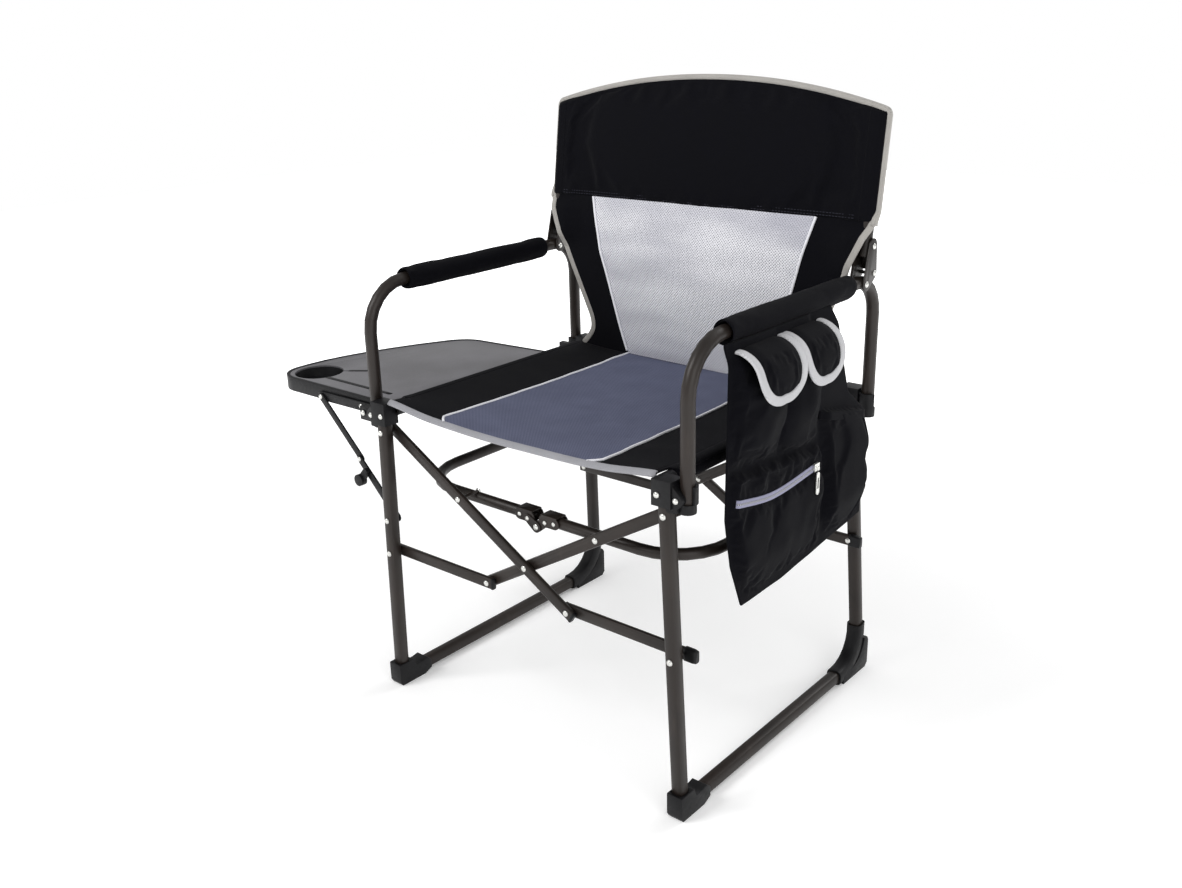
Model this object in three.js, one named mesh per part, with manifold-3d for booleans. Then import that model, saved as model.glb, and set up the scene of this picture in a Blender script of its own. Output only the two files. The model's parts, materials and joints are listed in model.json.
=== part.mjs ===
// Folding director's chair with a side table and an arm organiser.
// Millimetres, +Z up. The sitter faces -Y; "right" is +X. The pieces are drawn with x = 0 midway
// between the side frames and y = 0 at the front of the front feet, and the last lines move the
// finished chair so that the origin is on the floor at the middle of its footprint.
import * as THREE from 'three';
import { mergeVertices } from 'three/addons/utils/BufferGeometryUtils.js';
import Module from 'manifold-3d';

const wasm = await Module();
wasm.setup();

// ---------- driving dimensions ----------
const gap = 0.3; // running gap between neighbouring pieces
const wall = 1.2; // steel tube wall
const sheetSteel = 1.6; // pressed brackets

const legSpread = 250; // half the distance between the leg tops
const legSplay = 0.04; // outward lean of every leg, per mm of height
const frontLegY = 9;
const frontLegLean = 0.012; // rearward lean of the front legs, per mm of height
const rearLegY = 456;
const rearLegLean = 0.065;
const legTube = 18; // square tube with rounded corners
const legTop = 450;
const footWall = 3; // plastic of the feet round the tubes
const footBend = 60; // bend radius where the bottom rail turns up into the rear leg
const railHeight = 13; // axis of the bottom rail

const pivotHeight = 416; // rivets at the top of the X braces
const crossHeight = 268; // rivet where the braces cross
const linkHeight = 224; // rivets of the short links on the legs
const braceTail = 85.6; // from the crossing to the end rivet of a brace
const braceWidth = 17;
const braceThick = 8;
const braceOverhang = 9; // tube beyond each end rivet
const rivetBody = 2.4; // rivet shank radius
const rivetHead = 4.5;

const spreaderX = 248; // side bar of the spreader ring
const spreaderZ = 330;
const spreaderFrontY = 60;
const spreaderRearY = 415;
const spreaderTube = 8; // radius
const spreaderPinZ = 319.5;
const spreaderBend = 80;

const armX = 273;
const armTopZ = 622;
const armTube = 9; // radius
const armFrontY = 17;
const armRearY = 455;
const armFootZ = 431;
const padStart = 84;
const padEnd = 385;
const padRadius = 16;

const seatRailX = 238;
const seatRailZ = 451;
const seatRailTube = 8; // radius
const seatHalfWidth = 226;
const seatFront = 6;
const seatRear = 426;
const seatTop = 460;
const seatThick = 9;

const backPivotY = 411;
const backPivotZ = 620;
const postOffset = 6; // the post axis passes this far behind the pivot
const postLean = 0.14; // rearward lean of the back, per mm of height
const postTube = 8; // radius
const postBottom = 655;
const postTop = 838;
const panelHalfWidth = 259;
const panelThick = 6;
const panelCorner = 842;
const panelCrown = 886;

const tableHingeX = -295;
const tableHingeZ = 436;
const hingeRod = 3; // radius
const tableTop = 450;
const tableFloor = 428;
const tableOuter = -535; // outer end of the table
const tableFront = 30.3;
const tableWall = 5;
const panelDrop = 0.7; // the top panel lies this far below the tray's rim
const grooveWidth = 5;
const grooveDepth = 1.8; // below the surface of the top panel
const shortGrooveLength = 58;
const shortGrooveTurn = 0.61; // radians, from +X towards +Y
const cupX = -484;
const cupY = 77;
const cupRadius = 37;

const organiserX = 290.5; // inner face of the organiser
const organiserSheet = 4;

// ---------- materials ----------
function finish(color, roughness, metalness) {
  return new THREE.MeshStandardMaterial({ color, roughness, metalness });
}
const bronzePaint = finish(0x3a332d, 0.45, 0.3);
const blackPlastic = finish(0x17181a, 0.55, 0.0);
const brightSteel = finish(0xc9c9c6, 0.3, 0.9);
const blackFabric = finish(0x101117, 0.95, 0.0);
const greyFabric = finish(0x5f617d, 0.95, 0.0);
const meshFabric = finish(0xc9c9cc, 0.9, 0.0);
const tableGrey = finish(0x85868d, 0.6, 0.0);

// ---------- closed solids and booleans ----------
function toManifold(geometry) {
  const bare = geometry.clone();
  bare.deleteAttribute('normal');
  bare.deleteAttribute('uv');
  const merged = mergeVertices(bare, 1e-4);
  const vertProperties = new Float32Array(merged.attributes.position.array);
  const triVerts = new Uint32Array(merged.index.array);
  return new wasm.Manifold(new wasm.Mesh({ numProp: 3, vertProperties, triVerts }));
}

function toGeometry(manifold) {
  const result = manifold.getMesh();
  const geometry = new THREE.BufferGeometry();
  geometry.setAttribute('position', new THREE.BufferAttribute(result.vertProperties, 3));
  geometry.setIndex(new THREE.BufferAttribute(result.triVerts, 1));
  geometry.computeVertexNormals();
  return geometry;
}

function join(...geometries) {
  return toGeometry(geometries.map(toManifold).reduce((whole, next) => whole.add(next)));
}

function cut(base, ...tools) {
  return toGeometry(tools.map(toManifold).reduce((left, tool) => left.subtract(tool), toManifold(base)));
}

function common(first, second) {
  return toGeometry(toManifold(first).intersect(toManifold(second)));
}

// ---------- outlines ----------
// An arc is drawn in twice "curveSegments" steps, so these give a 16-sided tube and two-step corners.
const roundSegments = 8;
const cornerSegments = 1;

function circle(radius) {
  return new THREE.Shape().absarc(0, 0, radius, 0, 2 * Math.PI, false);
}

function roundedRectangle(width, height, radius) {
  const x = width / 2 - radius;
  const y = height / 2 - radius;
  const shape = new THREE.Shape();
  shape.absarc(x, y, radius, 0, Math.PI / 2, false);
  shape.absarc(-x, y, radius, Math.PI / 2, Math.PI, false);
  shape.absarc(-x, -y, radius, Math.PI, 1.5 * Math.PI, false);
  shape.absarc(x, -y, radius, 1.5 * Math.PI, 2 * Math.PI, false);
  return shape;
}

function hollow(outer, inner) {
  outer.holes.push(inner);
  return outer;
}

// The outline of a belt stretched around circles [u, v, radius], for ears, links and brackets.
function beltOutline(circles, pointsPerCircle = 16) {
  const points = [];
  for (const [u, v, radius] of circles) {
    for (let i = 0; i < pointsPerCircle; i += 1) {
      const angle = (2 * Math.PI * i) / pointsPerCircle;
      points.push(new THREE.Vector2(u + radius * Math.cos(angle), v + radius * Math.sin(angle)));
    }
  }
  points.sort((a, b) => a.x - b.x || a.y - b.y);
  const turn = (a, b, c) => (b.x - a.x) * (c.y - a.y) - (b.y - a.y) * (c.x - a.x);
  const chain = (ordered) => {
    const kept = [];
    for (const point of ordered) {
      while (kept.length > 1 && turn(kept.at(-2), kept.at(-1), point) <= 1e-6) {
        kept.pop();
      }
      kept.push(point);
    }
    return kept.slice(0, -1);
  };
  return new THREE.Shape([...chain(points), ...chain([...points].reverse())]);
}

// ---------- extrusions ----------
function extrude(shape, depth, curveSegments = 6) {
  return new THREE.ExtrudeGeometry(shape, { depth, bevelEnabled: false, curveSegments });
}

// An outline drawn in (y, z), filled from x0 to x1.
function plateAlongX(shape, x0, x1, curveSegments) {
  const basis = new THREE.Matrix4().makeBasis(
    new THREE.Vector3(0, 1, 0),
    new THREE.Vector3(0, 0, 1),
    new THREE.Vector3(1, 0, 0),
  );
  return extrude(shape, x1 - x0, curveSegments).applyMatrix4(basis.setPosition(x0, 0, 0));
}

// An outline drawn in (x, z), filled from y0 to y1.
function plateAlongY(shape, y0, y1, curveSegments) {
  const basis = new THREE.Matrix4().makeBasis(
    new THREE.Vector3(1, 0, 0),
    new THREE.Vector3(0, 0, 1),
    new THREE.Vector3(0, -1, 0),
  );
  return extrude(shape, y1 - y0, curveSegments).applyMatrix4(basis.setPosition(0, y1, 0));
}

// An outline drawn in (x, y), filled from z0 to z1.
function plateAlongZ(shape, z0, z1, curveSegments) {
  return extrude(shape, z1 - z0, curveSegments).translate(0, 0, z0);
}

function ordered(from, to) {
  return [Math.min(from, to), Math.max(from, to)];
}

function block(x0, x1, y0, y1, z0, z1) {
  const box = new THREE.BoxGeometry(x1 - x0, y1 - y0, z1 - z0);
  return box.translate((x0 + x1) / 2, (y0 + y1) / 2, (z0 + z1) / 2);
}

// ---------- tubes and rods ----------
// A path whose sections stand only at the given stations, so that straight runs need no extra ones.
class StationPath extends THREE.Curve {
  constructor(stations) {
    super();
    this.stations = stations;
  }

  getPoint(t, target = new THREE.Vector3()) {
    return target.copy(this.stations[this.indexAt(t)].point);
  }

  getPointAt(t, target) {
    return this.getPoint(t, target);
  }

  getTangentAt(t, target = new THREE.Vector3()) {
    return target.copy(this.stations[this.indexAt(t)].tangent);
  }

  indexAt(t) {
    return Math.round(t * (this.stations.length - 1));
  }
}

// Straight runs between the corners, each inner corner rounded to the bend radius.
function bentPath(corners, radii = [], segments = 6) {
  const points = corners.map((corner) => new THREE.Vector3(...corner));
  const direction = (i) => points[i + 1].clone().sub(points[i]).normalize();
  const stations = [{ point: points[0], tangent: direction(0) }];
  for (let i = 1; i < points.length - 1; i += 1) {
    const before = direction(i - 1);
    const after = direction(i);
    const angle = before.angleTo(after);
    const inward = after.clone().addScaledVector(before, -after.dot(before)).normalize();
    const radius = radii[i - 1];
    const start = points[i].clone().addScaledVector(before, -radius * Math.tan(angle / 2));
    for (let k = 0; k <= segments; k += 1) {
      const turned = (angle * k) / segments;
      const point = start.clone();
      point.addScaledVector(before, radius * Math.sin(turned));
      point.addScaledVector(inward, radius * (1 - Math.cos(turned)));
      const tangent = before.clone().multiplyScalar(Math.cos(turned));
      stations.push({ point, tangent: tangent.addScaledVector(inward, Math.sin(turned)) });
    }
  }
  stations.push({ point: points.at(-1), tangent: direction(points.length - 2) });
  return new StationPath(stations);
}

function sweep(shape, path, curveSegments) {
  const steps = path.stations.length - 1;
  return new THREE.ExtrudeGeometry(shape, { steps, extrudePath: path, curveSegments });
}

function roundTube(path, radius) {
  return sweep(hollow(circle(radius), circle(radius - wall)), path, roundSegments);
}

function squareTube(path, size, corner) {
  const inner = roundedRectangle(size - 2 * wall, size - 2 * wall, corner - wall);
  return sweep(hollow(roundedRectangle(size, size, corner), inner), path, cornerSegments);
}

function rod(from, to, radius, segments = 16) {
  const start = new THREE.Vector3(...from);
  const axis = new THREE.Vector3(...to).sub(start);
  const length = axis.length();
  const turn = new THREE.Quaternion().setFromUnitVectors(new THREE.Vector3(0, 1, 0), axis.normalize());
  const cylinder = new THREE.CylinderGeometry(radius, radius, length, segments);
  cylinder.translate(0, length / 2, 0).applyQuaternion(turn);
  return cylinder.translate(start.x, start.y, start.z);
}

// A shank with a domed head at each end; the heads bear on the faces at "from" and "to".
function rivet(from, to, shank, head) {
  const start = new THREE.Vector3(...from);
  const axis = new THREE.Vector3(...to).sub(start);
  const length = axis.length();
  const dome = head * 0.45;
  const profile = [
    [0, -dome],
    [head * 0.6, -dome * 0.8],
    [head, -gap],
    [shank, -gap],
    [shank, length + gap],
    [head, length + gap],
    [head * 0.6, length + dome * 0.8],
    [0, length + dome],
  ].map(([radius, height]) => new THREE.Vector2(radius, height));
  const turn = new THREE.Quaternion().setFromUnitVectors(new THREE.Vector3(0, 1, 0), axis.normalize());
  return new THREE.LatheGeometry(profile, 14).applyQuaternion(turn).translate(start.x, start.y, start.z);
}

// ---------- scene helpers ----------
const chair = new THREE.Group();

function place(parent, name, geometry, material) {
  const mesh = new THREE.Mesh(geometry, material);
  mesh.name = name;
  parent.add(mesh);
}

function frontLegAt(z) {
  const drop = pivotHeight - z;
  return [legSpread + legSplay * drop, frontLegY + frontLegLean * drop, z];
}

function rearLegAt(z) {
  const drop = pivotHeight - z;
  return [legSpread + legSplay * drop, rearLegY + rearLegLean * drop, z];
}

// ---------- side frame ----------
const legBottom = 6;
const railStart = 27;
const footX = frontLegAt(railHeight)[0];
const [, railEnd] = rearLegAt(railHeight);
const frontLegPath = bentPath([frontLegAt(legBottom), frontLegAt(legTop)]);
const sidePath = bentPath(
  [[footX, railStart, railHeight], [footX, railEnd, railHeight], rearLegAt(legTop)],
  [footBend],
);
const armPath = bentPath(
  [
    [armX, armFrontY, armFootZ],
    [armX, armFrontY, armTopZ],
    [armX, armRearY, armTopZ],
    [armX, armRearY, armFootZ],
  ],
  [66, 50],
);
const legCorner = 5;

function clearance(path) {
  const size = legTube + 2 * gap;
  return sweep(roundedRectangle(size, size, legCorner + gap), path, cornerSegments);
}

// An elbow that holds the front leg and the bottom rail.
function frontFoot() {
  const side = legTube / 2 + footWall;
  const outline = new THREE.Shape();
  outline.moveTo(4, 0);
  outline.lineTo(50, 0);
  outline.lineTo(64, 6);
  outline.lineTo(64, 20);
  outline.lineTo(56, 27);
  outline.lineTo(46, 25);
  outline.lineTo(32, 25);
  outline.lineTo(28, 36);
  outline.lineTo(0, 36);
  outline.lineTo(0, 6);
  const body = plateAlongX(outline, footX - side, footX + side);
  return cut(body, clearance(frontLegPath), clearance(sidePath));
}

const rearShoePath = bentPath(
  [[footX, railEnd - 72, railHeight], [footX, railEnd, railHeight], rearLegAt(railHeight + 62)],
  [footBend],
);

// A shoe that wraps the bend below the rear leg and stands on a flat heel.
function rearFoot() {
  const side = legTube / 2 + footWall;
  const heel = railEnd + side;
  const outline = new THREE.Shape();
  outline.moveTo(heel - 74, 0);
  outline.lineTo(heel - 6, 0);
  outline.lineTo(heel, 6);
  outline.lineTo(heel, 46);
  outline.lineTo(heel - 4, 52);
  outline.lineTo(heel - 12, 52);
  outline.quadraticCurveTo(heel - 18, 18, heel - 58, 14);
  outline.lineTo(heel - 74, 12);
  const heelPad = plateAlongX(outline, footX - side, footX + side);
  const wrap = sweep(roundedRectangle(2 * side, 2 * side, legCorner + 2), rearShoePath, cornerSegments);
  return cut(join(heelPad, wrap), clearance(sidePath));
}

// A moulding that joins leg, seat rail and arm tube. It is drawn for the front; the rear one is its
// mirror image about the depth of its own leg. The arm tube stands on a pad and is clasped from
// behind. Only the mouldings beside the table have a tab for its hinge rod.
function connector(legPath, legY, armY, inward, besideTable) {
  const y = (offset) => legY + inward * offset;
  const span = (from, to) => ordered(y(from), y(to));
  const head = block(legSpread - 15, legSpread + 13, ...span(-12, 13), 429, 462);
  const collar = rod([seatRailX, y(10), seatRailZ], [seatRailX, y(25), seatRailZ], 11);
  const wingOutline = beltOutline([
    [legSpread + 8, 452, 7],
    [armX - 5, 440, 9],
    [legSpread + 8, 430, 7],
  ]);
  const wing = plateAlongY(wingOutline, ...span(-9, 4));
  const pad = rod([armX, armY, 422], [armX, armY, armFootZ + 3], armTube + 2, 20);
  const clasp = cut(
    rod([armX, armY, 434], [armX, armY, 456], armTube + 4, 20),
    block(armX - 30, armX + 30, ...span(-20, 5), 420, 470),
  );
  const web = block(legSpread + 8, armX - 4, ...span(-9, 8), 424, 446);
  const parts = [head, collar, wing, pad, clasp, web];
  const armSocket = rod([armX, armY, armFootZ - gap], [armX, armY, 500], armTube + gap, 20);
  const railSocket = rod(
    [seatRailX, y(9.6), seatRailZ],
    [seatRailX, y(60), seatRailZ],
    seatRailTube + gap,
  );
  const holes = [clearance(legPath), armSocket, railSocket];
  if (besideTable) {
    const rodX = -tableHingeX; // drawn on the +X side; the left frame is its mirror image
    parts.push(block(armX, rodX + 8, ...span(0, 10.5), tableHingeZ - 11, tableHingeZ + 9));
    holes.push(rod([rodX, y(-20), tableHingeZ], [rodX, y(40), tableHingeZ], hingeRod + gap));
  }
  return cut(join(...parts), ...holes);
}

const padAxis = bentPath([[armX, padStart, armTopZ], [armX, padEnd, armTopZ]]);

function armPad() {
  return sweep(hollow(circle(padRadius), circle(armTube + gap)), padAxis, roundSegments + 2);
}

function postAt(z) {
  return [armX, backPivotY + postOffset + postLean * (z - backPivotZ), z];
}

const cheekInner = armTube + gap;
const cheekOuter = cheekInner + sheetSteel;
const pivotCentre = (x) => [armX + x, backPivotY, backPivotZ];

function pivotHole() {
  return rod(pivotCentre(-20), pivotCentre(20), rivetBody + gap);
}

// A pressed channel: two cheeks straddle the arm tube and a web behind the post joins them.
function backBracket() {
  const cheek = beltOutline([
    [backPivotY, backPivotZ, 9.5],
    [backPivotY + 20, backPivotZ + 12, 7],
    [backPivotY + 14, backPivotZ + 50, 10],
  ]);
  const web = beltOutline([
    [backPivotY + 26, backPivotZ + 16, 0.9],
    [backPivotY + 23, backPivotZ + 50, 0.9],
  ], 8);
  const channel = join(
    plateAlongX(cheek, armX - cheekOuter, armX - cheekInner),
    plateAlongX(cheek, armX + cheekInner, armX + cheekOuter),
    plateAlongX(web, armX - cheekOuter + 0.5, armX + cheekOuter - 0.5),
  );
  return cut(channel, pivotHole());
}

function buildSide(sign, side) {
  const group = new THREE.Group();
  group.scale.x = sign;
  chair.add(group);
  const seatRail = bentPath([
    [seatRailX, frontLegY + 10, seatRailZ],
    [seatRailX, rearLegY - 12, seatRailZ],
  ]);
  const post = bentPath([postAt(postBottom), postAt(postTop)]);
  place(group, `${side}_front_leg`, squareTube(frontLegPath, legTube, legCorner), bronzePaint);
  place(group, `${side}_side_tube`, squareTube(sidePath, legTube, legCorner), bronzePaint);
  place(group, `${side}_front_foot`, frontFoot(), blackPlastic);
  place(group, `${side}_rear_foot`, rearFoot(), blackPlastic);
  const besideTable = side === 'left';
  const frontJoint = connector(frontLegPath, frontLegY, armFrontY, 1, besideTable);
  const rearJoint = connector(sidePath, rearLegY, armRearY, -1, besideTable);
  place(group, `${side}_front_connector`, frontJoint, blackPlastic);
  place(group, `${side}_rear_connector`, rearJoint, blackPlastic);
  place(group, `${side}_seat_rail`, roundTube(seatRail, seatRailTube), bronzePaint);
  place(group, `${side}_arm_tube`, cut(roundTube(armPath, armTube), pivotHole()), bronzePaint);
  place(group, `${side}_arm_pad`, armPad(), blackFabric);
  place(group, `${side}_back_bracket`, backBracket(), bronzePaint);
  place(
    group,
    `${side}_back_rivet`,
    rivet(pivotCentre(-cheekOuter), pivotCentre(cheekOuter), rivetBody, rivetHead),
    brightSteel,
  );
  place(group, `${side}_back_post`, roundTube(post, postTube), bronzePaint);
}

buildSide(-1, 'left');
buildSide(1, 'right');

// ---------- X braces and short links ----------
const braceSlope = new THREE.Vector2(legSpread, crossHeight - pivotHeight).normalize();
const braceRun = Math.hypot(legSpread, pivotHeight - crossHeight) + braceTail;
const tailX = braceTail * braceSlope.x;
const tailZ = crossHeight + braceTail * braceSlope.y;
const [linkX] = frontLegAt(linkHeight);

function flatTube(from, to) {
  const corner = 3;
  const outer = roundedRectangle(braceThick, braceWidth, corner);
  const inner = roundedRectangle(braceThick - 2 * wall, braceWidth - 2 * wall, corner - wall);
  return sweep(hollow(outer, inner), bentPath([from, to]), cornerSegments);
}

// A long brace from the top of one leg, past the crossing, to its end rivet. "sign" is the side of
// its top rivet.
function brace(sign, y) {
  const along = (distance) => [
    sign * (legSpread - distance * braceSlope.x),
    y,
    pivotHeight + distance * braceSlope.y,
  ];
  const tube = flatTube(along(-braceOverhang), along(braceRun + braceOverhang));
  return cut(tube, rod([0, y - 30, crossHeight], [0, y + 30, crossHeight], rivetBody + gap));
}

// A short link from a brace's end rivet to the leg on the same side.
function link(sign, y) {
  const inner = [sign * (tailX - braceOverhang), y, tailZ];
  const outer = [sign * (linkX + braceOverhang), y, linkHeight];
  return flatTube(inner, outer);
}

// Depths of the flat members, from the legs towards the middle of the chair.
const frontNear = 24.8;
const frontFar = 33.3;
const rearLink = 452.3;
const rearNear = 441.3;
const rearFar = 432.8;

place(chair, 'front_brace_left', brace(-1, frontNear), bronzePaint);
place(chair, 'front_brace_right', brace(1, frontFar), bronzePaint);
place(chair, 'front_link_left', link(-1, frontNear), bronzePaint);
place(chair, 'front_link_right', link(1, frontFar), bronzePaint);
place(chair, 'rear_brace_left', brace(-1, rearNear), bronzePaint);
place(chair, 'rear_brace_right', brace(1, rearFar), bronzePaint);
place(chair, 'rear_link_left', link(-1, rearLink), bronzePaint);
place(chair, 'rear_link_right', link(1, rearLink), bronzePaint);

function crossRivet(near, far) {
  const low = Math.min(near, far) - braceThick / 2;
  const high = Math.max(near, far) + braceThick / 2;
  return rivet([0, low, crossHeight], [0, high, crossHeight], rivetBody, rivetHead);
}
place(chair, 'front_cross_rivet', crossRivet(frontNear, frontFar), brightSteel);
place(chair, 'rear_cross_rivet', crossRivet(rearNear, rearFar), brightSteel);

// ---------- spreader ring ----------
const spreaderGap = 9; // from the middle to each tube end

function spreaderHalf(sign) {
  const path = bentPath(
    [
      [sign * spreaderGap, spreaderFrontY, spreaderZ],
      [sign * spreaderX, spreaderFrontY, spreaderZ],
      [sign * spreaderX, spreaderRearY, spreaderZ],
      [sign * spreaderGap, spreaderRearY, spreaderZ],
    ],
    [spreaderBend, spreaderBend],
  );
  return roundTube(path, spreaderTube);
}

// A channel over the tube end with an ear on each cheek that reaches down to the hinge pin. The
// left bracket's ears stand outside the right bracket's ears.
function spreaderBracket(sign, y) {
  const inner = spreaderTube + gap;
  const outer = inner + sheetSteel;
  const earInner = sign < 0 ? outer + gap : inner;
  const earOuter = earInner + sheetSteel;
  const roofX = ordered(sign * 8, sign * 36);
  const bridgeX = ordered(sign * 11, sign * 19);
  const roofZ = spreaderZ + inner;
  const cheek = beltOutline([
    [sign * 12, spreaderZ + 1, 8],
    [sign * 32, spreaderZ + 1, 8],
  ]);
  const ear = beltOutline([
    [0, spreaderPinZ, 8],
    [sign * 15, spreaderZ - 1, 6],
  ]);
  const roof = block(...roofX, y - outer, y + outer, roofZ, roofZ + sheetSteel);
  const skirt = [-1, 1].flatMap((face) => {
    const band = (from, to) => ordered(y + face * from, y + face * to);
    return [
      block(...roofX, ...band(inner, outer), spreaderZ - 2, roofZ + sheetSteel),
      plateAlongY(cheek, ...band(inner, outer)),
      plateAlongY(ear, ...band(earInner, earOuter)),
      block(...bridgeX, ...band(inner, earOuter), spreaderZ - 4, spreaderZ + 4),
    ];
  });
  const pinHole = rod([0, y - 30, spreaderPinZ], [0, y + 30, spreaderPinZ], rivetBody + gap);
  return cut(join(roof, ...skirt), pinHole);
}

function spreaderPin(y) {
  const reach = spreaderTube + 2 * (gap + sheetSteel);
  return rivet([0, y - reach, spreaderPinZ], [0, y + reach, spreaderPinZ], rivetBody, rivetHead);
}

place(chair, 'spreader_left', spreaderHalf(-1), bronzePaint);
place(chair, 'spreader_right', spreaderHalf(1), bronzePaint);
for (const [end, y] of [['front', spreaderFrontY], ['rear', spreaderRearY]]) {
  place(chair, `${end}_spreader_bracket_left`, spreaderBracket(-1, y), bronzePaint);
  place(chair, `${end}_spreader_bracket_right`, spreaderBracket(1, y), bronzePaint);
  place(chair, `${end}_spreader_pin`, spreaderPin(y), brightSteel);
}

// ---------- seat and back ----------
place(
  chair,
  'seat_sling',
  block(-seatHalfWidth, seatHalfWidth, seatFront, seatRear, seatTop - seatThick, seatTop),
  greyFabric,
);

// The upper back stands between the posts, in their leaning plane, with a crowned top edge.
function backPanel() {
  const low = backPivotZ + 4;
  const outline = new THREE.Shape();
  outline.moveTo(-panelHalfWidth, low);
  outline.lineTo(panelHalfWidth, low);
  outline.lineTo(panelHalfWidth, panelCorner);
  outline.quadraticCurveTo(0, 2 * panelCrown - panelCorner, -panelHalfWidth, panelCorner);
  const panel = plateAlongY(outline, -panelThick / 2, panelThick / 2, 16);
  const lean = new THREE.Matrix4().makeShear(0, 0, 0, 0, 0, postLean);
  const [, y] = postAt(0);
  return panel.applyMatrix4(lean).translate(0, y, 0);
}

// The lower back runs from the pivots down to the rear edge of the seat and narrows on the way.
function lowerPanel() {
  const outline = new THREE.Shape();
  outline.moveTo(-panelHalfWidth, backPivotZ - 3);
  outline.quadraticCurveTo(-222, 540, -218, 466);
  outline.lineTo(218, 466);
  outline.quadraticCurveTo(222, 540, panelHalfWidth, backPivotZ - 3);
  return plateAlongY(outline, backPivotY + 6, backPivotY + 6 + panelThick, 8);
}
place(chair, 'back_panel', backPanel(), blackFabric);
place(chair, 'lower_back_panel', lowerPanel(), meshFabric);

// ---------- side table ----------
// Plan outline, drawn inwards by "inset".
function tableOutline(inset) {
  const inner = -264 - inset;
  const outer = tableOuter + inset;
  const front = tableFront + inset;
  const cornerRadius = 44 - inset;
  const outline = new THREE.Shape();
  outline.moveTo(inner, front);
  outline.lineTo(outer + cornerRadius, front);
  outline.absarc(outer + cornerRadius, front + cornerRadius, cornerRadius, 1.5 * Math.PI, Math.PI, true);
  outline.lineTo(outer, 95);
  outline.bezierCurveTo(outer, 150, -508 + inset, 240, -458 + inset, 330 - inset);
  outline.quadraticCurveTo(-440 + inset, 361 - inset, -410, 364 - inset);
  outline.lineTo(inner, 376 - inset);
  return outline;
}

const recessFloor = 446; // the top panel lies on this level of the tray
const cupFloor = 432;

function hingeHole(reach) {
  return rod([tableHingeX, 0, tableHingeZ], [tableHingeX, reach, tableHingeZ], hingeRod + gap);
}

function tableTray() {
  const body = plateAlongZ(tableOutline(0), tableFloor, tableTop);
  const underside = cut(
    plateAlongZ(tableOutline(tableWall), tableFloor - 1, recessFloor - 3),
    rod([cupX, cupY, 400], [cupX, cupY, 470], cupRadius + 2.5, 28),
  );
  const panelRecess = plateAlongZ(tableOutline(tableWall), recessFloor, tableTop + 1);
  const cup = rod([cupX, cupY, cupFloor], [cupX, cupY, 470], cupRadius, 28);
  const rodHole = hingeHole(500);
  const cupUnderside = rod([cupX, cupY, tableFloor - 1], [cupX, cupY, cupFloor - 2], cupRadius - 2, 28);
  return cut(body, underside, panelRecess, cup, rodHole, cupUnderside);
}

// The panel is cut away round the cup recess, and two grooves run from it towards the seat.
function tablePanel() {
  const top = tableTop - panelDrop;
  const sheet = plateAlongZ(tableOutline(tableWall + gap), recessFloor + gap, top);
  const cup = rod([cupX, cupY, 400], [cupX, cupY, 500], cupRadius + 1, 28);
  const halfGroove = grooveWidth / 2;
  const grooveZ = [top - grooveDepth, tableTop];
  const longGrooveY = cupY - 12;
  const longGroove = block(
    cupX + 20, tableHingeX - 3, longGrooveY - halfGroove, longGrooveY + halfGroove, ...grooveZ,
  );
  const shortGroove = block(-halfGroove, shortGrooveLength, -halfGroove, halfGroove, ...grooveZ);
  shortGroove.rotateZ(shortGrooveTurn).translate(cupX + 18, cupY + 20, 0);
  return cut(sheet, cup, longGroove, shortGroove);
}

const strutTopX = -413;
const strutTopZ = 435;
const elbowX = -330;
const elbowZ = 353;
const strutFootX = -255;
const strutFootZ = 278;
const upperStrutY = [23.2, 25.9];
const lowerStrutY = [20.2, 22.9];
const frontBarY = [26.3, 29.9];

function tableFrontBar() {
  const outline = beltOutline([
    [strutTopX - 4, strutTopZ, 7],
    [tableHingeX, tableHingeZ, 7],
  ]);
  return cut(plateAlongY(outline, ...frontBarY), hingeHole(40));
}

function flatStrut(start, end, ys, startRadius, endRadius) {
  return plateAlongY(beltOutline([[...start, startRadius], [...end, endRadius]]), ...ys);
}

// A round grip on a short neck below the elbow.
function strutKnob() {
  const grip = rod([elbowX + 5, 10, elbowZ - 30], [elbowX + 5, lowerStrutY[0] - gap, elbowZ - 30], 9, 24);
  const neck = beltOutline([
    [elbowX + 5, elbowZ - 30, 6],
    [elbowX + 17, elbowZ - 15, 5],
  ]);
  return join(grip, plateAlongY(neck, 14, lowerStrutY[0] - gap));
}

const rodEnds = [frontLegY - 1, rearLegY - 1];
place(chair, 'table_tray', tableTray(), blackPlastic);
place(chair, 'table_panel', tablePanel(), tableGrey);
place(chair, 'table_front_bar', tableFrontBar(), blackPlastic);
place(
  chair,
  'table_hinge_rod',
  rod([tableHingeX, rodEnds[0], tableHingeZ], [tableHingeX, rodEnds[1], tableHingeZ], hingeRod),
  brightSteel,
);
place(
  chair,
  'table_strut_upper',
  flatStrut([strutTopX, strutTopZ], [elbowX, elbowZ], upperStrutY, 5.5, 5.5),
  blackPlastic,
);
place(
  chair,
  'table_strut_lower',
  flatStrut([elbowX, elbowZ], [strutFootX, strutFootZ], lowerStrutY, 5.5, 7),
  blackPlastic,
);
place(chair, 'table_strut_knob', strutKnob(), blackPlastic);

// ---------- organiser on the right arm ----------
const pocketStart = 88; // front edge of the pockets
const pocketSeam = 266; // between the two columns of pockets
const pocketEnd = 420;
const pocketReach = 330; // no pocket stands out as far as this
const flapHinge = [297, 603]; // (x, z) of the top edge of each flap's inner face
const flapLean = 0.56;
const flapThick = 3;

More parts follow.
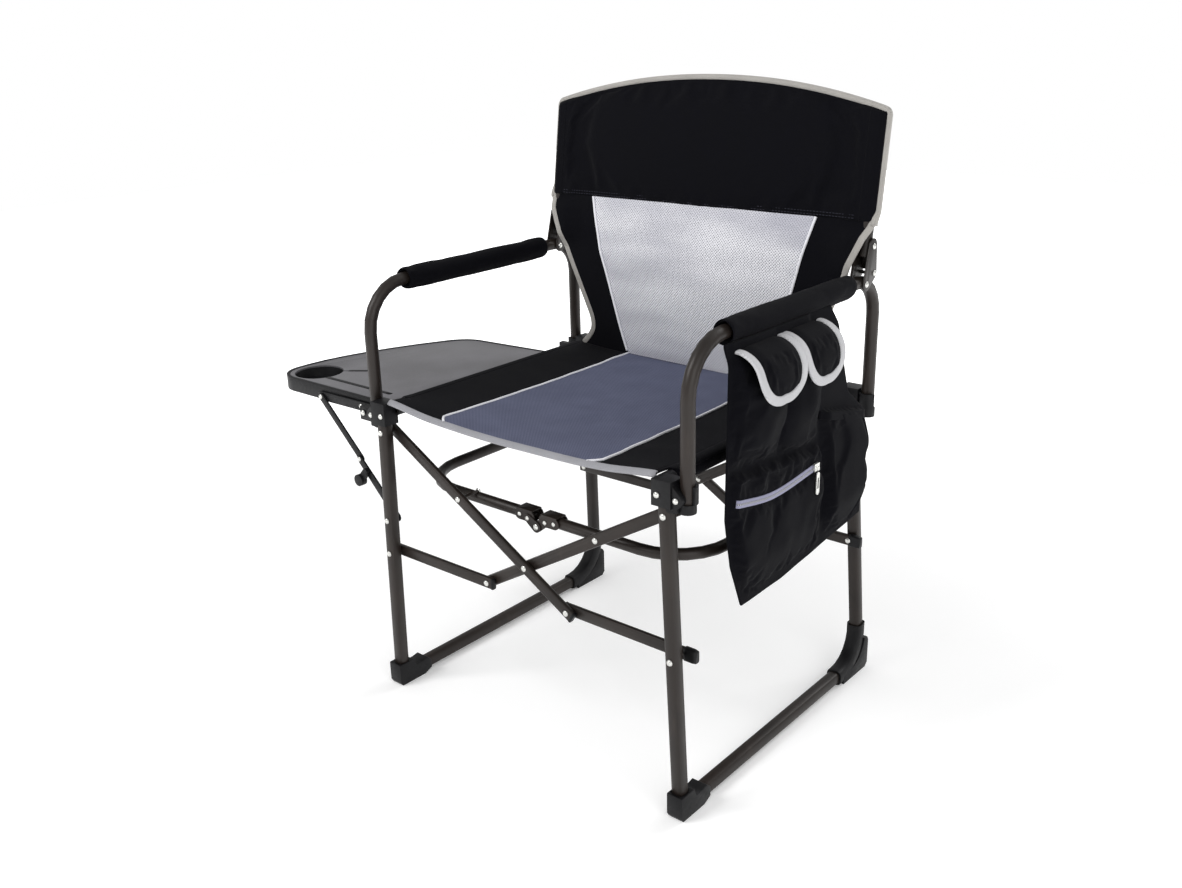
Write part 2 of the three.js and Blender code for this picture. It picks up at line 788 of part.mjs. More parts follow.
function organiserBody() {
  const outline = new THREE.Shape();
  outline.moveTo(80, 612);
  outline.lineTo(80, 390);
  outline.lineTo(90, 330);
  outline.lineTo(115, 268);
  outline.lineTo(415, 280);
  outline.lineTo(418, 444);
  outline.lineTo(358, 482);
  outline.lineTo(330, 556);
  outline.lineTo(318, 606);
  const sheet = plateAlongX(outline, organiserX, organiserX + organiserSheet);
  const reach = plateAlongX(outline, organiserX, pocketReach);
  const flapPockets = new THREE.Shape();
  flapPockets.moveTo(organiserX, 590);
  flapPockets.lineTo(organiserX, 455);
  flapPockets.lineTo(299, 455);
  flapPockets.lineTo(306, 462);
  flapPockets.lineTo(318, 540);
  flapPockets.lineTo(316, 566);
  const zipPocket = new THREE.Shape();
  zipPocket.moveTo(organiserX, 456);
  zipPocket.lineTo(organiserX, 260);
  zipPocket.lineTo(296, 260);
  zipPocket.lineTo(305, 340);
  zipPocket.lineTo(306, 400);
  zipPocket.lineTo(299, 456);
  const openPocket = new THREE.Shape();
  openPocket.moveTo(organiserX, 480);
  openPocket.lineTo(organiserX, 270);
  openPocket.lineTo(299, 270);
  openPocket.lineTo(308, 400);
  openPocket.lineTo(302, 474);
  const pockets = join(
    plateAlongY(flapPockets, pocketStart, pocketSeam),
    plateAlongY(zipPocket, pocketStart, pocketSeam),
    plateAlongY(openPocket, pocketSeam - 1, pocketEnd),
  );
  return join(sheet, common(reach, pockets));
}

// A flap with a straight top edge and a rounded lower edge, leaning outwards over its pocket.
function organiserFlap(start, end, drop) {
  const outline = new THREE.Shape();
  outline.moveTo(start, 0);
  outline.lineTo(end, 0);
  outline.lineTo(end, -drop * 0.5);
  outline.bezierCurveTo(end, -drop * 1.16, start, -drop * 1.16, start, -drop * 0.5);
  const [x, z] = flapHinge;
  return plateAlongX(outline, 0, flapThick, 10).rotateY(-flapLean).translate(x, 0, z);
}

const zipX = 305.4; // inner face of the slider
const zipY = 254;
const zipZ = 413;

function zipSlider() {
  return join(
    block(zipX, zipX + 3, zipY - 6, zipY + 6, zipZ - 5, zipZ + 5),
    block(zipX + 2, zipX + 5.5, zipY - 2, zipY + 2, zipZ - 4, zipZ + 1),
  );
}

function zipPull() {
  const tag = beltOutline([
    [zipY, zipZ - 10, 3.5],
    [zipY, zipZ - 34, 4],
  ]);
  const slot = beltOutline([
    [zipY, zipZ - 16, 1.6],
    [zipY, zipZ - 28, 1.6],
  ]);
  return cut(plateAlongX(tag, zipX + 3.5, zipX + 5.3), plateAlongX(slot, zipX + 3, zipX + 6));
}

place(chair, 'organiser_body', organiserBody(), blackFabric);
place(chair, 'organiser_flap_front', organiserFlap(92, 180, 66), blackFabric);
place(chair, 'organiser_flap_rear', organiserFlap(182, 264, 62), blackFabric);
place(chair, 'zip_slider', zipSlider(), brightSteel);
place(chair, 'zip_pull', zipPull(), brightSteel);

const footprint = new THREE.Box3().setFromObject(chair).getCenter(new THREE.Vector3());
chair.position.set(-footprint.x, -footprint.y, 0);

export default chair;
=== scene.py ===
"""The looks of a folding director's chair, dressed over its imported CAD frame.

Points are written in "chair millimetres": x = 0 midway between the side frames, y = 0 at the front
of the front feet and z = 0 on the floor. at() turns them into the frame's metres.
"""

import json
import math

import bmesh
import bpy
import numpy as np
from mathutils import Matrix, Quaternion, Vector, noise


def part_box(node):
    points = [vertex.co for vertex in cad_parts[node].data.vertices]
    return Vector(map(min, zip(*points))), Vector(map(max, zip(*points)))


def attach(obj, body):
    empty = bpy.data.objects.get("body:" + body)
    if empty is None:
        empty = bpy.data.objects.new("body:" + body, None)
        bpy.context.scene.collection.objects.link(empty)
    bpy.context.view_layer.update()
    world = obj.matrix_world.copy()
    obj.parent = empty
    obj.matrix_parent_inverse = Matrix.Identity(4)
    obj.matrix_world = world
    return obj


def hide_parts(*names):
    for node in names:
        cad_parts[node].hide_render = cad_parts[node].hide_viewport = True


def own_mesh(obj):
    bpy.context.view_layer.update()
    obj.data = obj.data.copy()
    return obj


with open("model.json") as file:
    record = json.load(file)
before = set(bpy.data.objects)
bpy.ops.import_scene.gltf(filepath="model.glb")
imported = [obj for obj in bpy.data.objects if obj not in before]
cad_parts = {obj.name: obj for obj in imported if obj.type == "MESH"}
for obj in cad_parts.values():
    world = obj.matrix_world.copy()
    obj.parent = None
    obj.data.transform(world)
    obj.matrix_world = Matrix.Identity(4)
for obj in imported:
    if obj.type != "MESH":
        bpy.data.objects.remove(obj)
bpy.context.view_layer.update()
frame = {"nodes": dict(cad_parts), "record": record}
nodes = frame["nodes"]
record = frame["record"]

# ---------- the chair's own coordinates ----------
MM = 0.001
left_foot_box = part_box("left_front_foot")
right_foot_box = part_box("right_front_foot")
HOME = Vector(((left_foot_box[0].x + right_foot_box[1].x) / 2, left_foot_box[0].y, 0))


def at(x, y, z):
    return HOME + Vector((x, y, z)) * MM


def span(node):
    """Lowest and highest corner of a CAD node, in chair millimetres."""
    return [(corner - HOME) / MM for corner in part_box(node)]


def centre(node):
    low, high = span(node)
    return (low + high) / 2


# ---------- sizes, in millimetres ----------
SIDES = (("left", -1), ("right", 1))
rail, arm = centre("right_seat_rail"), centre("right_arm_pad")
rail_low, rail_high = span("right_seat_rail")
rail_radius = (rail_high.z - rail_low.z) / 2
arm_low, arm_high = span("right_arm_pad")
arm_radius = arm.z - arm_low.z
arm_tube_low, arm_tube_high = span("right_arm_tube")
arm_tube_radius = (arm_tube_high.x - arm_tube_low.x) / 2
post_low, post_high = span("right_back_post")
post_x = (post_low.x + post_high.x) / 2
post_radius = (post_high.x - post_low.x) / 2
seat_low, seat_high = span("seat_sling")
panel_high = span("back_panel")[1]

HINGE_Z = 620.0  # the line where the back folds
BAND_Z = 700.0  # lower hem of the back's black band
POST_LEAN = (post_high.y - post_low.y - 2 * post_radius) / (post_high.z - post_low.z)


def post_y(z):
    """Depth of the back posts' axis at a height."""
    return post_low.y + post_radius + POST_LEAN * (z - post_low.z)


def smooth(t):
    t = min(max(t, 0.0), 1.0)
    return t * t * (3 - 2 * t)


def mix(a, b, t):
    return a + (b - a) * t


def spread(a, b, count):
    """Evenly spaced values from a to b, in a number of steps."""
    return [mix(a, b, i / count) for i in range(count + 1)]


def circle_angles(count):
    return [2 * math.pi * k / count for k in range(count)]


def interpolate(table, at_value):
    """A smooth curve through (key, value) pairs, sorted by key."""
    keys = [row[0] for row in table]
    values = [row[1] for row in table]
    count = len(keys)
    i = max(0, min(count - 2, int(np.searchsorted(keys, at_value)) - 1))
    step = keys[i + 1] - keys[i]
    t = min(max((at_value - keys[i]) / step, 0.0), 1.0)

    def slope(k):
        low, high = max(k - 1, 0), min(k + 1, count - 1)
        return (values[high] - values[low]) / (keys[high] - keys[low])

    a, b = values[i], values[i + 1]
    return (
        (2 * t**3 - 3 * t**2 + 1) * a
        + (t**3 - 2 * t**2 + t) * step * slope(i)
        + (-2 * t**3 + 3 * t**2) * b
        + (t**3 - t**2) * step * slope(i + 1)
    )


def gather(piece, body):
    """Cloth between the side frames: it rides on a body and gets a mesh of its own."""
    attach(piece, body)
    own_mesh(piece)


def settle(piece, body):
    """The piece rides on a body."""
    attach(piece, body)


# ---------- materials ----------
def srgb(red, green, blue):
    """A linear colour from the 0 to 255 values a screen shows."""
    channels = [c / 255 for c in (red, green, blue)]
    linear = [c / 12.92 if c <= 0.04045 else ((c + 0.055) / 1.055) ** 2.4 for c in channels]
    return (*linear, 1.0)


class Shader:
    """A short way to write a node material: each call adds a node and returns its output."""

    def __init__(self, name):
        self.material = bpy.data.materials.new(name)
        self.material.use_nodes = True
        self.tree = self.material.node_tree
        self.surface = self.tree.nodes["Principled BSDF"]
        self.position = self.node("ShaderNodeTexCoord").outputs["Object"]

    def node(self, kind, **settings):
        made = self.tree.nodes.new(kind)
        for key, value in settings.items():
            setattr(made, key, value)
        return made

    def feed(self, socket, value):
        if isinstance(value, bpy.types.NodeSocket):
            self.tree.links.new(value, socket)
        else:
            socket.default_value = value

    def math(self, operation, first, second=0.0):
        made = self.node("ShaderNodeMath", operation=operation)
        self.feed(made.inputs[0], first)
        self.feed(made.inputs[1], second)
        return made.outputs[0]

    def noise(self, scale, detail=2.0, stretch=(1, 1, 1)):
        mapping = self.node("ShaderNodeMapping")
        self.feed(mapping.inputs["Vector"], self.position)
        mapping.inputs["Scale"].default_value = stretch
        made = self.node("ShaderNodeTexNoise")
        self.feed(made.inputs["Vector"], mapping.outputs[0])
        made.inputs["Scale"].default_value = scale
        made.inputs["Detail"].default_value = detail
        return made.outputs["Fac"]

    def ramp(self, value, *stops):
        made = self.node("ShaderNodeValToRGB")
        self.feed(made.inputs[0], value)
        elements = made.color_ramp.elements
        while len(elements) < len(stops):
            elements.new(0.5)
        for element, (place, colour) in zip(elements, stops):
            element.position = place
            element.color = colour
        return made.outputs[0]

    def range(self, value, low, high):
        made = self.node("ShaderNodeMapRange")
        self.feed(made.inputs["Value"], value)
        made.inputs["To Min"].default_value = low
        made.inputs["To Max"].default_value = high
        return made.outputs[0]

    def mix_colour(self, factor, first, second):
        made = self.node("ShaderNodeMix", data_type="RGBA")
        self.feed(made.inputs["Factor"], factor)
        self.feed(made.inputs[6], first)
        self.feed(made.inputs[7], second)
        return made.outputs[2]

    def axis(self, name):
        made = self.node("ShaderNodeSeparateXYZ")
        self.feed(made.inputs[0], self.position)
        return made.outputs[name]

    def bump(self, height, strength, distance):
        made = self.node("ShaderNodeBump")
        self.feed(made.inputs["Height"], height)
        made.inputs["Strength"].default_value = strength
        made.inputs["Distance"].default_value = distance
        self.feed(self.surface.inputs["Normal"], made.outputs[0])

    def finish(self, colour, roughness, metallic=0.0, **more):
        self.feed(self.surface.inputs["Base Color"], colour)
        self.feed(self.surface.inputs["Roughness"], roughness)
        self.feed(self.surface.inputs["Metallic"], metallic)
        for name, value in more.items():
            self.feed(self.surface.inputs[name.replace("_", " ")], value)
        return self.material


def powder_coat():
    """Dark bronze paint: orange-peel skin, slight colour drift and paler rubbed patches."""
    s = Shader("bronze_powder_coat")
    drift = s.noise(14, 4)
    scuff = s.noise(60, 6, (1, 1, 0.25))
    base = s.ramp(drift, (0.3, srgb(28, 23, 20)), (0.7, srgb(41, 34, 30)))
    rubbed = s.ramp(scuff, (0.6, (0, 0, 0, 1)), (0.78, (0.3, 0.3, 0.3, 1)))
    colour = s.mix_colour(rubbed, base, srgb(66, 57, 51))
    s.bump(s.noise(900, 2), 0.14, 0.0004)
    return s.finish(colour, s.range(scuff, 0.34, 0.52), 0.15, Specular_IOR_Level=0.4)


def moulded_plastic():
    """Black nylon mouldings with a fine spark texture."""
    s = Shader("black_moulded_plastic")
    colour = s.ramp(s.noise(40, 3), (0.3, srgb(5, 5, 7)), (0.7, srgb(13, 13, 16)))
    s.bump(s.noise(1400, 2), 0.25, 0.0003)
    return s.finish(colour, s.range(s.noise(200, 3), 0.38, 0.6), Specular_IOR_Level=0.25)


def bright_steel():
    """Zinc-plated rivets, rods and zip pulls, with a faint brushed haze."""
    s = Shader("bright_steel")
    haze = s.noise(500, 3, (1, 1, 6))
    colour = s.ramp(haze, (0.3, srgb(196, 196, 192)), (0.7, srgb(232, 232, 228)))
    s.bump(haze, 0.05, 0.0002)
    return s.finish(colour, s.range(haze, 0.2, 0.38), 0.85)


def weave_height(s, across, along, pitch):
    """Over-and-under threads in the plane of two axes: 0 in the gaps, 1 on a thread's crown."""
    turns = math.pi / (pitch * MM)
    u = s.math("SINE", s.math("MULTIPLY", s.axis(across), turns))
    v = s.math("SINE", s.math("MULTIPLY", s.axis(along), turns))
    return s.math("ADD", s.math("MULTIPLY", s.math("MULTIPLY", u, v), 0.5), 0.5)


def woven(name, dark, light, plane, pitch=1.1, roughness=(0.78, 0.95), sheen=0.02, depth=0.35):
    """Plain-woven polyester: thread relief, with painted shade that darkens the gaps between threads,
    blotchy dye and a soft sheen.
    """
    s = Shader(name)
    threads = weave_height(s, *plane, pitch)
    blotch = s.noise(25, 5)
    # painted shade: the colour follows the thread relief, darker in the gaps between the threads
    tone = s.math("ADD", s.math("MULTIPLY", threads, 0.7), s.math("MULTIPLY", blotch, 0.3))
    colour = s.ramp(tone, (0.25, dark), (0.75, light))
    s.bump(threads, depth, 0.0005)
    return s.finish(
        colour, s.range(blotch, *roughness), Sheen_Weight=sheen, Specular_IOR_Level=0.07
    )


def mesh_cloth(name, plane, pitch=4.6):
    """Open sandwich mesh: rows of small holes between pale threads. The holes are painted dark as the
    shade inside them, and broad bands of painted shade sit where soft folds would be shaded.
    """
    s = Shader(name)
    turns = 2 * math.pi / (pitch * MM)
    u = s.math("MULTIPLY", s.axis(plane[0]), turns)
    v = s.math("MULTIPLY", s.axis(plane[1]), turns)
    first = s.math("SINE", s.math("ADD", u, v))
    second = s.math("SINE", s.math("SUBTRACT", u, v))
    holes = s.math("MULTIPLY", s.math("ADD", first, second), 0.5)
    shade = s.range(holes, 0.0, 1.0)
    # painted shade: the holes are coloured dark for the shade inside them
    threads_and_hole_shade = s.ramp(shade, (0.4, srgb(226, 226, 231)), (0.78, srgb(70, 70, 80)))
    # painted shade: broad darker bands where soft folds of the mesh would be shaded
    fold = s.noise(7, 2, (0.5, 1, 1.6))
    painted_fold_shade = s.ramp(fold, (0.46, (0, 0, 0, 1)), (0.64, (0.7, 0.7, 0.7, 1)))
    colour = s.mix_colour(painted_fold_shade, threads_and_hole_shade, srgb(158, 158, 170))
    s.bump(s.math("MULTIPLY", holes, -1.0), 0.55, 0.0008)
    return s.finish(colour, 0.85, Sheen_Weight=0.05, Specular_IOR_Level=0.15)


def ribbed_tape(name, dark, light, plane=("X", "Z")):
    """Grosgrain binding: fine ribs, with painted shade between them, and a slightly worn tone."""
    return woven(name, dark, light, plane, pitch=0.9, roughness=(0.8, 0.95), sheen=0.15, depth=0.45)


def zip_teeth():
    """Interlocking coil teeth: bands across the zip, light on the teeth, with painted shade in the gaps
    between them.
    """
    s = Shader("zip_teeth")
    bands = s.math("SINE", s.math("MULTIPLY", s.axis("Y"), math.pi / (0.9 * MM)))
    height = s.range(bands, 0.0, 1.0)
    # painted shade: darker where the relief is low, between the teeth
    colour = s.ramp(height, (0.3, srgb(90, 90, 96)), (0.7, srgb(190, 190, 198)))
    s.bump(height, 0.6, 0.0004)
    return s.finish(colour, 0.5)


def table_laminate():
    """The table's mid-grey top: a leathery moulded grain with faint cloudy rubbing."""
    s = Shader("table_laminate")
    cloud = s.noise(12, 5)
    speck = s.noise(450, 2)
    tone = s.math("ADD", s.math("MULTIPLY", cloud, 0.7), s.math("MULTIPLY", speck, 0.3))
    colour = s.ramp(tone, (0.35, srgb(86, 85, 88)), (0.68, srgb(112, 111, 115)))
    s.bump(speck, 0.3, 0.0004)
    return s.finish(colour, s.range(cloud, 0.34, 0.55))


FLOOR_GLOW = 0.14  # makes up for the light that a small studio's walls would return
FLOOR_CLEAR = 0.9  # metres from the middle; beyond this the floor starts to fade
FLOOR_FADED = 2.0  # and here it is as white as the surroundings


def floor_paper():
    """Pale paper that fades into the white surroundings away from the chair."""
    s = Shader("studio_paper")
    tone = s.ramp(s.noise(3, 2), (0.3, srgb(250, 250, 250)), (0.7, srgb(254, 254, 254)))
    east, north = s.axis("X"), s.axis("Y")
    squares = s.math("ADD", s.math("MULTIPLY", east, east), s.math("MULTIPLY", north, north))
    away = s.math("SUBTRACT", s.math("SQRT", squares), FLOOR_CLEAR)
    fade = s.math("MINIMUM", s.math("MAXIMUM", s.math("DIVIDE", away, FLOOR_FADED - FLOOR_CLEAR), 0), 1)
    glow = s.math("ADD", s.math("MULTIPLY", fade, 1 - FLOOR_GLOW), FLOOR_GLOW)
    return s.finish(tone, 0.9, Emission_Color=srgb(255, 255, 255), Emission_Strength=glow)


BLACK = (srgb(2, 2, 4), srgb(12, 12, 18))
materials = {
    "bronze_paint": powder_coat(),
    "black_plastic": moulded_plastic(),
    "bright_steel": bright_steel(),
    "black_fabric": woven("black_polyester_side", *BLACK, ("Y", "Z")),
    "black_front": woven("black_polyester_front", *BLACK, ("X", "Z")),
    "black_flat": woven("black_polyester_flat", *BLACK, ("X", "Y")),
    "seat_fabric": woven(
        "slate_weave", srgb(70, 74, 94), srgb(106, 110, 132), ("X", "Y"), pitch=1.4, depth=0.5
    ),
    "mesh_fabric": mesh_cloth("pale_mesh", ("X", "Z")),
    "table_grey": table_laminate(),
    "warm_tape": ribbed_tape("warm_grey_tape", srgb(136, 133, 129), srgb(174, 171, 166)),
    "pale_tape": ribbed_tape("pale_grey_tape", srgb(122, 122, 126), srgb(162, 162, 167)),
    "white_cord": ribbed_tape("white_cord", srgb(214, 214, 220), srgb(244, 244, 248)),
    "zip_teeth": zip_teeth(),
    "stitch_thread": woven("stitch_thread", srgb(38, 38, 46), srgb(66, 66, 76), ("X", "Z")),
    "zip_tape": ribbed_tape("lavender_zip_tape", srgb(122, 122, 144), srgb(160, 160, 184), ("Y", "Z")),
    "trim_tape": ribbed_tape("silver_trim", srgb(160, 160, 163), srgb(204, 204, 206), ("Y", "Z")),
}


# ---------- mesh building ----------
def add_object(name, mesh, material):
    made = bpy.data.objects.new(name, mesh)
    bpy.context.scene.collection.objects.link(made)
    mesh.materials.append(material)
    mesh.polygons.foreach_set("use_smooth", [True] * len(mesh.polygons))
    return made


def make_piece(name, points, faces, material):
    """A mesh from chair-millimetre points, its doubled points joined and its faces turned out."""
    mesh = bpy.data.meshes.new(name)
    mesh.from_pydata([at(*p) for p in points], [], faces)
    shape = bmesh.new()
    shape.from_mesh(mesh)
    bmesh.ops.remove_doubles(shape, verts=shape.verts, dist=0.01 * MM)
    bmesh.ops.dissolve_degenerate(shape, edges=shape.edges, dist=0.001 * MM)
    bmesh.ops.recalc_face_normals(shape, faces=shape.faces)
    shape.to_mesh(mesh)
    shape.free()
    return add_object(name, mesh, materials[material])


def grid_faces(columns, rows, offset=0, around=False):
    """Quads of a grid of points laid row by row; "around" joins the last column to the first."""
    faces = []
    width = columns if around else columns - 1
    for row in range(rows - 1):
        for column in range(width):
            a = offset + row * columns + column
            b = offset + row * columns + (column + 1) % columns
            faces.append((a, b, b + columns, a + columns))
    return faces


def sheet(name, surface, columns, rows, material, thickness, hemmed=True):
    """Cloth of even thickness on a surface(u, v), with u and v from 0 to 1. Cloth that carries on
    in the next piece has no hemmed rim."""
    points = [
        surface(i / (columns - 1), k / (rows - 1)) for k in range(rows) for i in range(columns)
    ]
    made = make_piece(name, points, grid_faces(columns, rows), material)
    solid = made.modifiers.new("thickness", "SOLIDIFY")
    solid.thickness = thickness * MM
    solid.offset = 0
    solid.use_rim = hemmed
    return made


def loft(name, rings, material):
    """A closed solid through rings of points, each end filled."""
    count = len(rings[0])
    points = [p for ring in rings for p in ring]
    faces = grid_faces(count, len(rings), around=True)
    faces.append(tuple(range(count)))
    faces.append(tuple(range(len(points) - count, len(points))))
    return make_piece(name, points, faces, material)


def rounded_corner(angle, width, thickness, squareness):
    """A point of a rounded rectangle's outline, at an angle from its middle."""
    c, s = math.cos(angle), math.sin(angle)
    return (
        math.copysign(abs(c) ** squareness, c) * width / 2,
        math.copysign(abs(s) ** squareness, s) * thickness / 2,
    )


def strip(name, path, normals, width, thickness, material, steps=12, squareness=0.6):
    """A tape or cord along a path. Its flat side faces the normals; equal sizes make a round cord."""
    rings = []
    for i, point in enumerate(path):
        ahead = path[min(i + 1, len(path) - 1)]
        behind = path[max(i - 1, 0)]
        tangent = (Vector(ahead) - Vector(behind)).normalized()
        facing = Vector(normals[i] if isinstance(normals, list) else normals)
        side = tangent.cross(facing).normalized()
        facing = side.cross(tangent)
        ring = []
        for angle in circle_angles(steps):
            u, v = rounded_corner(angle, width, thickness, squareness)
            ring.append(Vector(point) + side * u + facing * v)
        rings.append(ring)
    return loft(name, rings, material)


def cord(name, path, radius, material):
    return strip(name, path, (0.1, 0.2, 1), 2 * radius, 2 * radius, material, steps=10, squareness=1)


def keep_mesh(piece):
    """Replaces the piece's mesh by what its modifiers make of it."""
    graph = bpy.context.evaluated_depsgraph_get()
    mesh = bpy.data.meshes.new_from_object(piece.evaluated_get(graph))
    piece.modifiers.clear()
    piece.data = mesh
    mesh.polygons.foreach_set("use_smooth", [True] * len(mesh.polygons))


def coordinates(mesh):
    values = np.zeros(len(mesh.vertices) * 3)
    mesh.vertices.foreach_get("co", values)
    return values.reshape(-1, 3)


SIMULATED_FRAMES = 20


def puff(piece, cap, pressure, slack, held):
    """Fills a closed form like a stuffed or hollow cover, by cloth simulation with a limit on how
    far a point may move. "slack" is the extra cloth that makes wrinkles; "held" picks the points
    (in chair millimetres) that keep their place."""
    rest = coordinates(piece.data)
    cloth = piece.modifiers.new("cloth", "CLOTH")
    settings = cloth.settings
    settings.quality = 4
    settings.mass = 0.3
    settings.use_pressure = True
    settings.uniform_pressure_force = pressure
    settings.shrink_min = -slack
    settings.effector_weights.gravity = 0
    cloth.collision_settings.use_collision = False
    group = piece.vertex_groups.new(name="held")
    indices = [i for i, co in enumerate(rest) if held((Vector(co) - HOME) / MM)]
    group.add(indices, 1.0, "REPLACE")
    settings.vertex_group_mass = "held"
    for step in range(1, SIMULATED_FRAMES + 1):
        bpy.context.scene.frame_set(step)
    graph = bpy.context.evaluated_depsgraph_get()
    moved = coordinates(piece.evaluated_get(graph).data)
    shift = moved - rest
    length = np.maximum(np.linalg.norm(shift, axis=1, keepdims=True), 1e-9)
    shift *= np.minimum(1.0, cap * MM / length)
    piece.modifiers.clear()
    piece.data.vertices.foreach_set("co", (rest + shift).ravel())
    bpy.context.scene.frame_set(1)
    finer = piece.modifiers.new("finer", "SUBSURF")
    finer.levels = finer.render_levels = 1


def slice_piece(piece, name, x_low, x_high):
    """A copy of the piece cut down to a range of x, its cuts filled."""
    shape = bmesh.new()
    shape.from_mesh(piece.data)
    for x, side in ((x_low, 1), (x_high, -1)):
        everything = shape.verts[:] + shape.edges[:] + shape.faces[:]
        bmesh.ops.bisect_plane(
            shape, geom=everything, plane_co=at(x, 0, 0), plane_no=(side, 0, 0), clear_inner=True
        )
        bmesh.ops.holes_fill(shape, edges=[e for e in shape.edges if e.is_boundary])
    mesh = bpy.data.meshes.new(name)
    shape.to_mesh(mesh)
    shape.free()
    return add_object(name, mesh, piece.data.materials[0])


def split(piece, name, half, parts=("left", "middle", "right")):
    """Cuts a piece at x = -half and x = half and returns its left, middle and right part."""
    limits = ((-2 * half, -half), (-half, half), (half, 2 * half))
    made = [slice_piece(piece, f"{name}_{part}", *cut) for part, cut in zip(parts, limits)]
    bpy.data.objects.remove(piece)
    return made


# ---------- the CAD nodes' own finish ----------
CRISP_EDGE = math.radians(35)  # edges that turn more than this stay crisp
BEVELLED_EDGE = math.radians(38)  # and those that turn more than this get a small round


def smooth_by_angle():
    """A node group that shades a mesh smooth but for its crisp edges."""
    group = bpy.data.node_groups.new("smooth_by_angle", "GeometryNodeTree")
    group.interface.new_socket("Geometry", in_out="INPUT", socket_type="NodeSocketGeometry")
    group.interface.new_socket("Geometry", in_out="OUTPUT", socket_type="NodeSocketGeometry")
    source = group.nodes.new("NodeGroupInput")
    result = group.nodes.new("NodeGroupOutput")
    faces = group.nodes.new("GeometryNodeSetShadeSmooth")
    edges = group.nodes.new("GeometryNodeSetShadeSmooth")
    edges.domain = "EDGE"
    angle = group.nodes.new("GeometryNodeInputMeshEdgeAngle")
    limit = group.nodes.new("FunctionNodeCompare")
    limit.operation = "LESS_THAN"
    limit.inputs[1].default_value = CRISP_EDGE
    group.links.new(source.outputs[0], faces.inputs["Geometry"])
    group.links.new(faces.outputs[0], edges.inputs["Geometry"])
    group.links.new(angle.outputs["Unsigned Angle"], limit.inputs[0])
    group.links.new(limit.outputs[0], edges.inputs["Shade Smooth"])
    group.links.new(edges.outputs[0], result.inputs[0])
    return group


smoothing = smooth_by_angle()
BEVELS = {"bronze_paint": 0.5, "black_plastic": 1.1, "bright_steel": 0.25, "table_grey": 0.4}
HIDDEN_BEVEL = 0.5  # for the cloth nodes, which other pieces stand for


def dress_node(name, slot):
    """Material, welded points, small round edges and smooth shading for one CAD node."""
    node = nodes[name]
    node.data.materials.clear()
    node.data.materials.append(materials[slot])
    weld = node.modifiers.new("weld", "WELD")
    weld.merge_threshold = 0.005 * MM
    bevel = node.modifiers.new("round_edges", "BEVEL")
    bevel.width = BEVELS.get(slot, HIDDEN_BEVEL) * MM
    bevel.segments = 2
    bevel.limit_method = "ANGLE"
    bevel.angle_limit = BEVELLED_EDGE
    shading = node.modifiers.new("shading", "NODES")
    shading.node_group = smoothing


for subpart in record["subparts"]:
    dress_node(subpart["node"], subpart["material_slot"])


# ---------- seat ----------
SEAT_HALF = rail.x  # the sling is slung between the tops of the rails
SLING_REACH = 8.0  # and laps this far over each of them
LAP_START = 229.0  # beyond this the sling stays with its own rail when the chair folds
SLING_HALF_FRONT = 234.3  # where it passes between the front mouldings
SLEEVE_RADIUS = rail_radius + 2.5  # of the sling round a rail
HEM_RADIUS = rail_radius + 1.9  # of the hem under it
PANEL_HALF_FRONT = 142.0
PANEL_HALF_REAR = 134.0
PIPING_RADIUS = 1.9
BINDING = (9.5, 4.2)  # width and thickness
seat_edge_z = rail.z + SLEEVE_RADIUS
seat_front, seat_rear = seat_low.y + 2, seat_high.y - 1


def seat_depth(y):
    """How far back a point of the seat lies, from 0 at the front edge to 1."""
    return (y - seat_front) / (seat_high.y - seat_front)


def seat_z(x, y):
    """Height of the slung seat: deepest near the middle, with faint pull lines from the rails."""
    across = max(1 - (x / SEAT_HALF) ** 2, 0)
    depth = seat_depth(y)
    sag = mix(11.5, 9.0, depth) + 4.5 * math.sin(math.pi * min(max(depth, 0), 1))
    ripple = noise.noise(Vector((x * 0.008, y * 0.03, 3.0))) * 1.5
    corner = 3.0 * (1 - smooth(depth / 0.12)) * smooth((abs(x) - 150) / 80)
    beyond = max(abs(x) - SEAT_HALF, 0)
    wrap = SLEEVE_RADIUS - math.sqrt(SLEEVE_RADIUS**2 - beyond**2)
    return seat_edge_z - sag * across + ripple * across + corner - wrap


def sling_half(y):
    """Half the width of the sling: narrow between the front mouldings, then lapped over the rails."""
    return mix(SLING_HALF_FRONT, SEAT_HALF + SLING_REACH, smooth((y - rail_low.y - 14) / 8))


def panel_half(y):
    """Half the width of the slate panel; its front corners are clipped."""
    clip = 16 * (1 - smooth((y - seat_front) / 20)) ** 1.5
    return mix(PANEL_HALF_FRONT, PANEL_HALF_REAR, seat_depth(y)) - clip


def seat_point(x, y, lift):
    return (x, y, seat_z(x, y) + lift)


def seat_surface(half, lift):
    """The seat between -half(y) and half(y), raised by a lift."""

    def surface(u, v):
        y = mix(seat_front, seat_rear, v)
        return seat_point(mix(-1, 1, u) * half(y), y, lift)

    return surface


def build_seat():
    sling = sheet("seat_sling_cloth", seat_surface(sling_half, 0), 110, 64, "black_flat", 2.2)
    panel = sheet("seat_slate_panel", seat_surface(panel_half, 1.5), 48, 56, "seat_fabric", 1.2)
    keep_mesh(sling)
    left, base, right = split(sling, "seat_sling", LAP_START, ("lap_left", "base", "lap_right"))
    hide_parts("seat_sling")
    gather(base, "left_side")
    gather(panel, "left_side")
    settle(left, "left_side")
    settle(right, "right_side")
    for side, sign in SIDES:
        stations = spread(seat_front + 2, seat_rear, 60)
        path = [seat_point(sign * panel_half(y), y, 2.0) for y in stations]
        piping = cord(f"seat_piping_{side}", path, PIPING_RADIUS, "white_cord")
        gather(piping, "left_side")
        build_rail_hem(side, sign)
    edge = [seat_point(x, seat_front, -0.5) for x in spread(-SLING_HALF_FRONT, SLING_HALF_FRONT, 60)]
    binding = strip("seat_front_binding", edge, (0, -0.64, 0.77), *BINDING, "pale_tape")
    gather(binding, "left_side")


